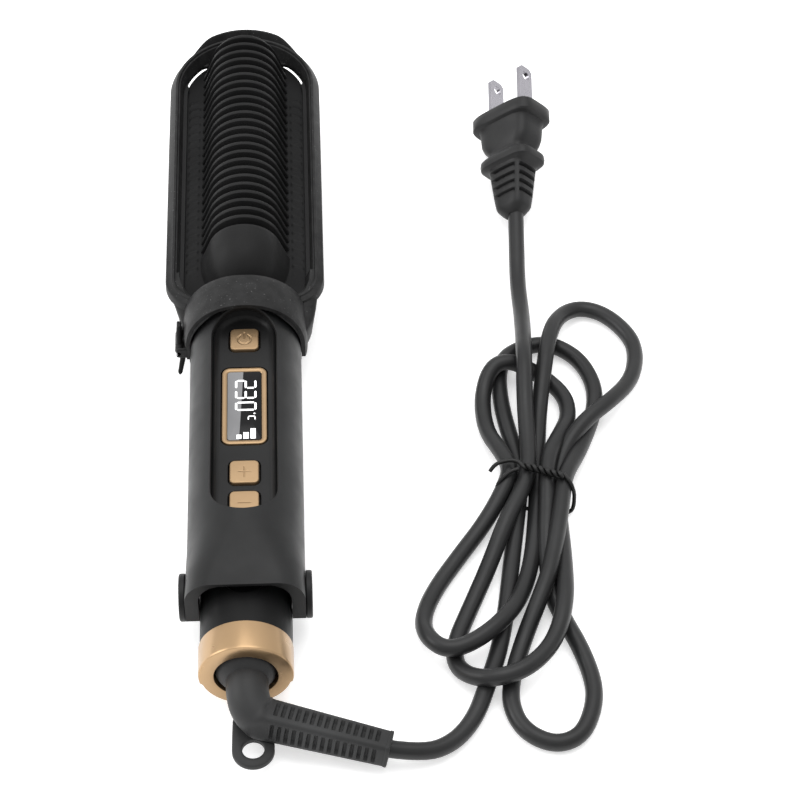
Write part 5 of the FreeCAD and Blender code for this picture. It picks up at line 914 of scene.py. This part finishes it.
# %% The window
def display_glass():
    """Black, and a painted reflection of glare: a paler grey left of a slanted border: across, turned by 0.046 about
    the up axis, below a limit.
    """
    material, tree, principled, place = shader("display_window_painted_glare", 0.16, Specular_IOR_Level=0.15)
    mapping = tree.nodes.new("ShaderNodeMapping")
    mapping.inputs["Location"].default_value = (0.5007, 0.0, 0.0)
    mapping.inputs["Rotation"].default_value = (0.0, 0.0, 0.046)
    tree.links.new(place.outputs["Object"], mapping.inputs["Vector"])
    split = tree.nodes.new("ShaderNodeSeparateXYZ")
    tree.links.new(mapping.outputs["Vector"], split.inputs["Vector"])
    border = spread(tree, split.outputs["X"], 0.0, 1.0, 0.50155, 0.50165)
    # painted reflection: the paler grey of the glare on the glass's left half
    pale = ramp(tree, noise(tree, place, 60.0, 2.0), [(0.3, (0.17, 0.17, 0.175)), (0.7, (0.24, 0.24, 0.245))])
    mix = tree.nodes.new("ShaderNodeMix")
    mix.data_type = "RGBA"
    mix.inputs["B"].default_value = (0.006, 0.006, 0.0065, 1.0)
    tree.links.new(border, mix.inputs["Factor"])
    tree.links.new(pale, mix.inputs["A"])
    tree.links.new(mix.outputs["Result"], principled.inputs["Base Color"])
    return material


window_path = block_path(5.12, 13.72, 0.9, DISPLAY_MIDDLE, 5)[0]
window_middle = np.array([0.0, DISPLAY_MIDDLE])
window_rows = [(1.0, 25.4), (1.0, 26.84), (0.985, 26.9), (0.5, 26.9), (0.02, 26.9)]
window_points = np.stack([np.column_stack([window_middle + (window_path - window_middle) * share,
                                           np.full(len(window_path), height)]) for share, height in window_rows])
window = surface("display_window_painted_glare", metres(window_points))
carried(window, "handle", "display_glass", "display_lens", material=display_glass())

# %% Figures of the display
def strokes(parts):
    """Corners of pointed strokes (x, y, x, y, width): the two ends, and four corners half a width in."""
    parts = np.asarray(parts, dtype=float)
    start, end, half = parts[:, 0:2], parts[:, 2:4], parts[:, 4:5] / 2
    way = (end - start) / np.linalg.norm(end - start, axis=1, keepdims=True)
    beside = np.column_stack([-way[:, 1], way[:, 0]])
    return np.stack([start, start + (way - beside) * half, end - (way + beside) * half, end,
                     end - (way - beside) * half, start + (way + beside) * half], axis=1)


ROWS, THICK = (3.35, 0.4, -2.5), 0.64     # where the three long strokes of a figure lie, and their width


def digit(low, high, rows, joins):
    """Strokes along the tool at the chosen rows, and joins (row, row, at the high end?) between them."""
    parts = [(ROWS[row], high - 0.3, ROWS[row], low + 0.3, THICK) for row in rows]
    for first, second, at_high in joins:
        station = high - 0.32 if at_high else low + 0.32
        parts.append((ROWS[first] - 0.3, station, ROWS[second] + 0.3, station, THICK))
    return parts


figures = digit(98.2, 101.8, (0, 1, 2), [(0, 1, False), (1, 2, True)])
figures += digit(94.1, 97.6, (0, 1, 2), [(0, 1, False), (1, 2, False)])
figures += digit(89.3, 92.9, (0, 2), [(0, 2, False), (0, 2, True)])
figures += [(3.2, 86.9, 3.2, 85.6, 0.34), (1.2, 86.9, 1.2, 85.6, 0.34), (1.2, 87.0, 3.2, 87.0, 0.34),
            (2.7, 88.1, 3.4, 88.1, 0.5)]
print("strokes", len(figures))

# %% The figures as thin blocks
blocks = [(-2.35, -0.9, 79.7), (-0.3, 1.3, 80.6), (1.85, 3.4, 82.1)]
outlines = strokes(figures)
steps = np.array([[(x0, 78.1), ((x0 + x1) / 2, 78.1), (x1, 78.1), (x1, top), ((x0 + x1) / 2, top), (x0, top)]
                  for x0, x1, top in blocks])
outlines = np.concatenate([outlines, steps])
layers = np.stack([np.concatenate([outlines, np.full(outlines.shape[:2] + (1,), height)], -1)
                   for height in (26.88, 26.93)], axis=1)
ring_index = np.arange(6)
prism_sides = np.stack([ring_index, (ring_index + 1) % 6, (ring_index + 1) % 6 + 6, ring_index + 6], 1)
offsets = np.arange(len(outlines)) * 12
side_faces = (prism_sides[None] + offsets[:, None, None]).reshape(-1, 4)
end_faces = np.concatenate([offsets[:, None] + ring_index[::-1], offsets[:, None] + ring_index + 6])
figure_mesh = bpy.data.meshes.new("display_figures")
figure_mesh.from_pydata(metres(layers.reshape(-1, 3)), [], side_faces.tolist() + end_faces.tolist())
glow = moulded("display_light", (0.9, 0.9, 0.9), 0.5, 0.03, Emission_Color=(1, 1, 1, 1), Emission_Strength=0.9)
carried(finish_mesh("display_figures", figure_mesh), "handle", "display_glass", material=glow)

# %% [markdown]
# ## The gold ring
# The ring is turned, then its lower part is eased back a little between two steps where the housing clips in. Its
# profile is carried round the axis, and the radius of the outside changes with the angle.

# %% The gold ring
AXIS_HEIGHT, RING_SPOKES, DOME_SPOKES = 15.0, 144, 72


def turned(name, profile, spokes, shift=0.0, closed=False):
    """Profile of (radius, station) turned about the ring's axis; `shift` is added to each radius."""
    profile = np.asarray(profile, dtype=float)
    spoke = full_turn(spokes)
    radius = profile[:, :1] + shift
    points = np.stack(np.broadcast_arrays(radius * np.cos(spoke), profile[:, 1:],
                                          AXIS_HEIGHT + radius * np.sin(spoke)), -1)
    return surface(name, metres(points), wrap_rows=closed)


ring_profile = np.array([(9.2, 1.8), (9.2, -0.75), (9.25, -0.85), (9.4, -0.9), (13.2, -0.9), (13.45, -0.82),
                         (13.6, -0.62), (13.65, -0.3), (13.65, 0.1), (13.65, 8.5), (13.6, 8.7), (13.45, 8.8),
                         (12.2, 8.8), (12.2, 1.8)])
spoke = np.degrees(full_turn(RING_SPOKES))
lower = smooth(-np.abs(spoke - 270.0), -77.0, -74.0)
ease = np.where(ring_profile[:, :1] > 12.5, -0.55, 0.0) * lower[None, :]
gold_ring = turned("gold_ring_turned", ring_profile, RING_SPOKES, ease, closed=True)
carried(gold_ring, "handle", "gold_ring", "end_ring")

# %% [markdown]
# ## Sweeps
# The boot, the tie's wires and the latch lever are sections carried along a path. At each point of the path the
# section needs its own two directions: one to the side and one up. They come from the path's direction and a fixed
# upward one.

# %% Sections along a path
def bend(points, count):
    """A Catmull-Rom curve through the points: a cubic between neighbours, its slopes half the step over them."""
    points = np.asarray(points, dtype=float)
    padded = np.concatenate([2 * points[:1] - points[1:2], points, 2 * points[-1:] - points[-2:-1]])
    place = np.linspace(0.0, len(points) - 1.0, count)
    first = np.minimum(place.astype(int), len(points) - 2)
    share = (place - first)[:, None]
    before, start, end, after = (padded[first + offset] for offset in range(4))
    return 0.5 * (2 * start + (end - before) * share + (2 * before - 5 * start + 4 * end - after) * share ** 2
                  + (3 * start - before - 3 * end + after) * share ** 3)


def swept(name, path, across, lift, up=(0.0, 0.0, 1.0)):
    """Section points, `across` to the side and `lift` upwards, carried along a path of points."""
    tangent = np.gradient(path, axis=0)
    side = np.cross(tangent, up)
    side /= np.linalg.norm(side, axis=1, keepdims=True)
    over = np.cross(side, tangent)
    over /= np.linalg.norm(over, axis=1, keepdims=True)
    points = path[:, None, :] + side[:, None, :] * across[..., None] + over[:, None, :] * lift[..., None]
    return surface(name, metres(points))


def squarish(angle, power):
    """Radius of a superellipse of half width 1: (|cos|^n + |sin|^n)^(-1/n); n = 2 is a circle."""
    return (np.abs(np.cos(angle)) ** power + np.abs(np.sin(angle)) ** power) ** (-1.0 / power)


print("a squarish corner lies at", round(float(squarish(np.pi / 4, 5.2)), 2), "instead of 1")

# %% [markdown]
# ## The boot
# The boot turns in the ring. A dome closes the ring's hole, an elbow leads the cord aside, and a squarish relief with
# fifteen slots on each of its four faces lets it bend. Elbow and relief are one sweep whose section changes from
# round to squarish, and each slot is a dip in that section.

# %% Elbow and relief
KNEE, EXIT = np.array([6.5, -13.3, 10.9]), np.array([40.2, -21.8, 7.0])
relief_way = (EXIT - KNEE) / np.linalg.norm(EXIT - KNEE)
relief_length = np.linalg.norm(EXIT - KNEE)
share = np.linspace(0.0, 1.0, 26)[:-1, None]
elbow = ((1 - share) ** 3 * np.array([0.3, -1.5, 15.0]) + 3 * (1 - share) ** 2 * share * np.array([0.3, -9.0, 14.8])
         + 3 * (1 - share) * share ** 2 * (KNEE - 6.0 * relief_way) + share ** 3 * KNEE)
SLOTS = 15
slot_middle = 1.5 + 2.1 * np.arange(SLOTS)
slot_rows = (slot_middle[:, None] + np.array([-0.66, -0.5, -0.42, 0.42, 0.5, 0.66])).ravel()
slot_dips = np.tile([0.0, 0.15, 1.0, 1.0, 0.15, 0.0], SLOTS)
collar_rows = relief_length - np.array([1.2, 1.05, 0.9, 0.25, 0.08, 0.0])
collar_grow = np.array([0.0, 0.12, 0.16, 0.16, 0.05, -0.3])
far_rows = np.concatenate([[0.0], slot_rows, collar_rows])
boot_path = np.concatenate([elbow, KNEE + far_rows[:, None] * relief_way])
straight = np.concatenate([np.zeros(len(elbow)), far_rows]) / relief_length
to_square = np.concatenate([smooth(share[:, 0], 0.72, 1.0), np.ones(len(far_rows))])
half_side = 6.1 + to_square * (4.9 - 0.8 * straight - 6.1)
half_side[-len(collar_grow):] += collar_grow
dips = np.concatenate([np.zeros(len(elbow) + 1), slot_dips, np.zeros(len(collar_rows))])
print("relief", round(relief_length, 1), "mm, rows", len(boot_path))

# %% The boot's section and sweep
around = full_turn(112)
power = (2.0 + 3.2 * to_square)[:, None]
radius = half_side[:, None] * squarish(around[None, :], power)
face_way = np.abs((around + np.pi / 4) % (np.pi / 2) - np.pi / 4)
slot_reach = 0.62 - 0.2 * np.abs(np.sin(around))
in_face = 1.0 - smooth(np.tan(face_way), slot_reach, slot_reach + 0.12)
radius = radius - 1.25 * dips[:, None] * in_face[None, :]
roll_angle = around + math.radians(12)
boot_body = swept("boot_body", boot_path, radius * np.cos(roll_angle), radius * np.sin(roll_angle))
print("section points", len(around))

# %% Dome, stem and hanging tab
dome = turned("boot_dome", [(0.05, -3.9), (3.0, -3.75), (5.2, -3.1), (7.0, -1.9), (8.3, -0.3), (8.85, 1.0),
                            (8.9, 2.2), (10.5, 2.25), (10.5, 4.1), (4.0, 4.1), (4.0, 14.2), (0.05, 14.2)],
              DOME_SPOKES)
TAB, TAB_HALF, TAB_HOLE, TAB_STEPS = np.array([1.7, -20.2]), 6.05, 3.15, 2.9
spoke = full_turn(72)
tab_out = np.column_stack([np.cos(spoke), np.sin(spoke)])
tab_edge = TAB + tab_out * TAB_HALF
tab_edge[:, 1] += 8.5 * smooth(np.sin(spoke), 0.0, 0.3)
tab_rows = [(0, 5.6), (0, 6.6), (0.12, 6.95), (0.4, 7.15), (2.0, 7.2), (2.6, 7.2), (2.8, 7.1), (2.9, 6.9),
            (2.9, 5.5), (2.8, 5.3), (2.6, 5.2), (0.4, 5.2), (0.1, 5.35)]
inward = TAB + tab_out * TAB_HOLE - tab_edge
tab_points = np.stack([np.column_stack([tab_edge + inward * (step / TAB_STEPS), np.full(len(spoke), height)])
                       for step, height in tab_rows], axis=1)
tab = surface("boot_tab", metres(tab_points), wrap_rows=True)
boot = carried(joined("cord_boot_moulded", [boot_body, dome, tab]), "cord_swivel", "boot_rubber", "cord_boot")

# %% [markdown]
# ## The wire tie
# A coated wire holds the hank. It goes round the cords once, its two ends are twisted together over them, and one
# end sticks out. The twist is two helices, each a point that circles the middle line, half a turn apart.

# %% The wire tie
WIRE = 0.62
wire_round = full_turn(12)


def wire(name, path):
    """A round wire along a path that stays across the cords."""
    return swept(name, path, WIRE * np.cos(wire_round)[None, :], WIRE * np.sin(wire_round)[None, :],
                 up=(0.25, 1.0, 0.0))


twist_share = np.linspace(0.0, 1.0, 90)[:, None]
twist_line = np.array([84.6, 77.6, 11.3]) * (1 - twist_share) + np.array([96.0, 73.3, 11.1]) * twist_share
twist_angle = twist_share * 2 * np.pi * 3.0 + np.array([0.0, np.pi])
beside, over = np.array([0.35, 0.94, 0.0]), np.array([0.0, 0.0, 1.0])
helix = [twist_line + 0.66 * (np.cos(twist_angle[:, number:number + 1]) * beside
                              + np.sin(twist_angle[:, number:number + 1]) * over) for number in (0, 1)]
ends_right = [(98.3, 71.3, 9.6), (99.3, 69.3, 5.6), (97.8, 67.2, 1.3), (90.0, 68.3, 0.9), (82.0, 70.0, 0.9),
              (76.6, 71.2, 1.3), (75.6, 71.8, 5.4), (76.6, 73.2, 9.2), (79.6, 75.3, 11.0), (82.5, 76.4, 11.4)]
first_wire = wire("tie_wire", np.concatenate([helix[0], bend([tuple(helix[0][-1])] + ends_right, 90)[1:]]))
free_end = bend([(73.9, 77.1, 9.6), (75.3, 78.4, 10.6), (77.0, 79.2, 11.2), (80.0, 79.7, 11.5),
                 (82.6, 79.0, 11.6), tuple(helix[1][0])], 40)
second_wire = wire("tie_end", np.concatenate([free_end[:-1], helix[1]]))
tie = carried(joined("wire_tie", [first_wire, second_wire]), "cord_swivel", "tie_black", "cord_tie")

# %% [markdown]
# ## The plug
# The plug is one soft moulding round two blades: a flange for the socket, a tapered grip, a second flange for the
# fingers and a slotted relief. It lies on its side, turned about its own axis. Every station of its axis gives a
# rounded rectangle of its own width and depth.

# %% The plug's axis and rows
PLUG, PLUG_AXIS = np.array([89.8, 226.5, 15.5]), np.array([0.03, 0.975, 0.22])
plug_axis = PLUG_AXIS / np.linalg.norm(PLUG_AXIS)
plug_wide = np.array([0.72, 0.03, 0.69])
plug_wide = plug_wide - (plug_wide @ plug_axis) * plug_axis
plug_wide /= np.linalg.norm(plug_wide)
plug_deep = np.cross(plug_axis, plug_wide)
plug_rows = [(-2.5, 12.1, 7.7), (-2.3, 12.5, 8.1), (-1.9, 12.75, 8.35), (1.9, 12.75, 8.35), (2.3, 12.5, 8.1),
             (2.5, 12.0, 7.6), (2.75, 10.7, 7.0), (3.4, 10.3, 6.75), (6.0, 10.2, 6.6), (9.0, 9.9, 6.4),
             (11.0, 9.0, 6.2), (12.3, 8.0, 5.9), (13.0, 7.5, 5.7), (14.2, 7.4, 5.7), (14.7, 8.2, 6.0),
             (15.2, 9.6, 6.6), (15.8, 10.3, 6.95), (17.2, 10.5, 7.0), (18.4, 10.3, 6.9), (19.0, 9.4, 6.4),
             (19.4, 7.9, 5.7), (20.0, 7.3, 5.5)]
body_rows, PLUG_RIBS = len(plug_rows), 4
rib_starts = 20.6 + 3.1 * np.arange(PLUG_RIBS)
rib_rows = (rib_starts[:, None] + np.array([0.0, 0.18, 0.35, 1.35, 1.52, 1.7])).ravel()
rib_wide = 7.25 - 0.11 * (rib_rows - 20.0)
plug_rows += list(zip(rib_rows, rib_wide, rib_wide * 0.77))
end_rows = [(33.2, 5.7, 4.5), (34.6, 5.5, 4.4), (35.4, 5.2, 4.2), (37.0, 3.9, 3.4), (37.8, 2.9, 2.8)]
plug_rows = np.array(plug_rows + end_rows)
plug_dips = np.concatenate([np.zeros(body_rows), np.tile([0.0, 0.4, 1.0, 1.0, 0.4, 0.0], PLUG_RIBS),
                            np.zeros(len(end_rows))])
print("plug rows", len(plug_rows))

# %% The plug's surface
# Each row is a superellipse: across = width |cos|^(2/n), up = depth |sin|^(2/n), n from 4.2 at the grip to 2.1.
around = full_turn(96)
circle_x, circle_y = np.cos(around), np.sin(around)
power = 2.0 / np.interp(plug_rows[:, 0], [19.0, 34.0, 37.8], [4.2, 3.6, 2.1])[:, None]
wide = plug_rows[:, 1:2] * np.sign(circle_x) * np.abs(circle_x) ** power
deep = plug_rows[:, 2:3] * np.sign(circle_y) * np.abs(circle_y) ** power
between_bands = smooth(np.abs(((around + np.pi / 4) % (np.pi / 2)) - np.pi / 4) * -1, -0.62, -0.5)
inward = 1.0 - 0.2 * plug_dips[:, None] * between_bands[None, :]
plug_points = (PLUG - plug_axis * plug_rows[:, None, :1] + plug_wide * (wide * inward)[..., None]
               + plug_deep * (deep * inward)[..., None])
plug = carried(surface("plug_moulded", metres(plug_points)), "cord_swivel", "plug_plastic", "plug_body")
blades = rounded("plug_blades", 0.25)

# %% [markdown]
# ## The latch lever
# The lever rocks on a pin between two lugs. Its upper pad is pressed with a finger, and its thin tail reaches down
# to catch the handle. One sweep could make both, but they leave the pin in different directions, so pad and tail
# are two bent sweeps of a squarish section, joined to a barrel round the pin.

# %% The latch lever
PIN, BARREL = np.array([-21.0, 14.5]), 1.3     # the pin's place across and up, and the radius round it
lever_round = full_turn(32)
lever_square = squarish(lever_round, 3.6)


def lever_arm(name, corners, half_wide, half_thick):
    """A squarish section along a bent line, its half sizes given at even shares; the two ends are drawn in."""
    line = bend(corners, 50)
    share = np.linspace(0.0, 1.0, 50)
    wide = np.interp(share, np.linspace(0, 1, len(half_wide)), half_wide)
    thick = np.interp(share, np.linspace(0, 1, len(half_thick)), half_thick)
    wide = wide * np.minimum(1.0, 0.4 + 12 * share)
    thick = thick * np.minimum(1.0, 0.4 + 12 * (1 - share))
    return swept(name, line, wide[:, None] * lever_square * np.cos(lever_round),
                 thick[:, None] * lever_square * np.sin(lever_round), up=(-1.0, 0.0, 0.0))


pad_line = [(-20.8, 132.6, 20.8), (-21.0, 131.0, 17.4), (-21.0, 129.3, 14.0), (-20.8, 128.0, 11.6)]
tail_line = [(-19.3, 130.8, 15.5), (-19.7, 129.4, 11.8), (-20.4, 127.6, 8.2), (-21.3, 125.2, 4.8)]
pad = lever_arm("lever_pad", pad_line, [1.9, 2.3, 2.3, 1.7], [0.7, 0.85, 0.9, 0.8])
tail = lever_arm("lever_tail", tail_line, [1.6, 1.5, 1.2, 0.9], [0.9, 0.95, 0.85, 0.7])
barrel_outline = PIN + BARREL * np.column_stack([np.cos(lever_round), np.sin(lever_round)])
barrel = prism("lever_barrel", barrel_outline, 125.9, 133.9)
carried(joined("latch_lever_moulded", [pad, tail, soften(barrel, 0.2, 2)]), "latch", "frame_black", "latch_lever")

# %% [markdown]
# The cord rides on the cord swivel, like the boot, the tie and the plug that lie along it. Its length is measured
# along its middle.

# %% The cord's facts
dress(mains_cord, "cord_jacket")
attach(mains_cord, "cord_swivel")
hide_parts("supply_lead", "cord_hank", "plug_lead")

# %% [markdown]
# ## Floor and light
# The tool lies on a white sheet that glows a little by itself, so the shadows stay faint. The sky is brightest above
# and beyond the tip and fades towards the cord end, which keeps the near faces dark, as in a studio tent. One wide
# lamp above and one at the left give the curved sides their soft bright edge. A ring of small lamps would show as
# spots in the gold.

# %% The floor
floor_material = moulded("floor_sheet", (0.93, 0.93, 0.93), 0.75, 0.01, 300.0, 1e-5,
                         Emission_Color=(1.0, 1.0, 1.0, 1.0), Emission_Strength=0.42)
floor_mesh = bpy.data.meshes.new("floor_sheet")
floor_mesh.from_pydata([(-3, -3, 0), (3, -3, 0), (3, 3, 0), (-3, 3, 0)], [], [(0, 1, 2, 3)])
floor_mesh.materials.append(floor_material)
floor_sheet = placed("floor_sheet", floor_mesh)
print("the floor is", round(floor_sheet.dimensions[0], 1), "m wide")

# %% The sky
world = bpy.data.worlds.new("studio")
world.use_nodes = True
sky = world.node_tree
background = sky.nodes["Background"]
background.inputs["Color"].default_value = (1.0, 1.0, 1.0, 1.0)
direction = sky.nodes.new("ShaderNodeTexCoord")
upward = sky.nodes.new("ShaderNodeVectorMath")
upward.operation = "DOT_PRODUCT"
upward.inputs[1].default_value = (0.0, 0.45, 0.75)
sky.links.new(direction.outputs["Generated"], upward.inputs[0])
sky.links.new(spread(sky, upward.outputs["Value"], 0.4, 1.15, -0.4, 0.75), background.inputs["Strength"])
bpy.context.scene.world = world
bpy.context.scene.view_settings.view_transform = "Standard"
print("sky", world.name)


# %% The lamps
def lamp(name, place, size, power):
    """A square area lamp at `place`, in metres, that faces the origin."""
    light = bpy.data.lights.new(name, "AREA")
    light.shape, light.size, light.energy = "SQUARE", size, power
    lamp_object = placed(name, light)
    lamp_object.location = place
    lamp_object.rotation_euler = (-Vector(place)).to_track_quat("-Z", "Y").to_euler()


lamp("above", (0.1, 0.2, 1.4), size=1.2, power=9.0)
lamp("left", (-1.1, 0.1, 0.6), size=0.8, power=7.0)
print("lamps", len(bpy.data.lights))
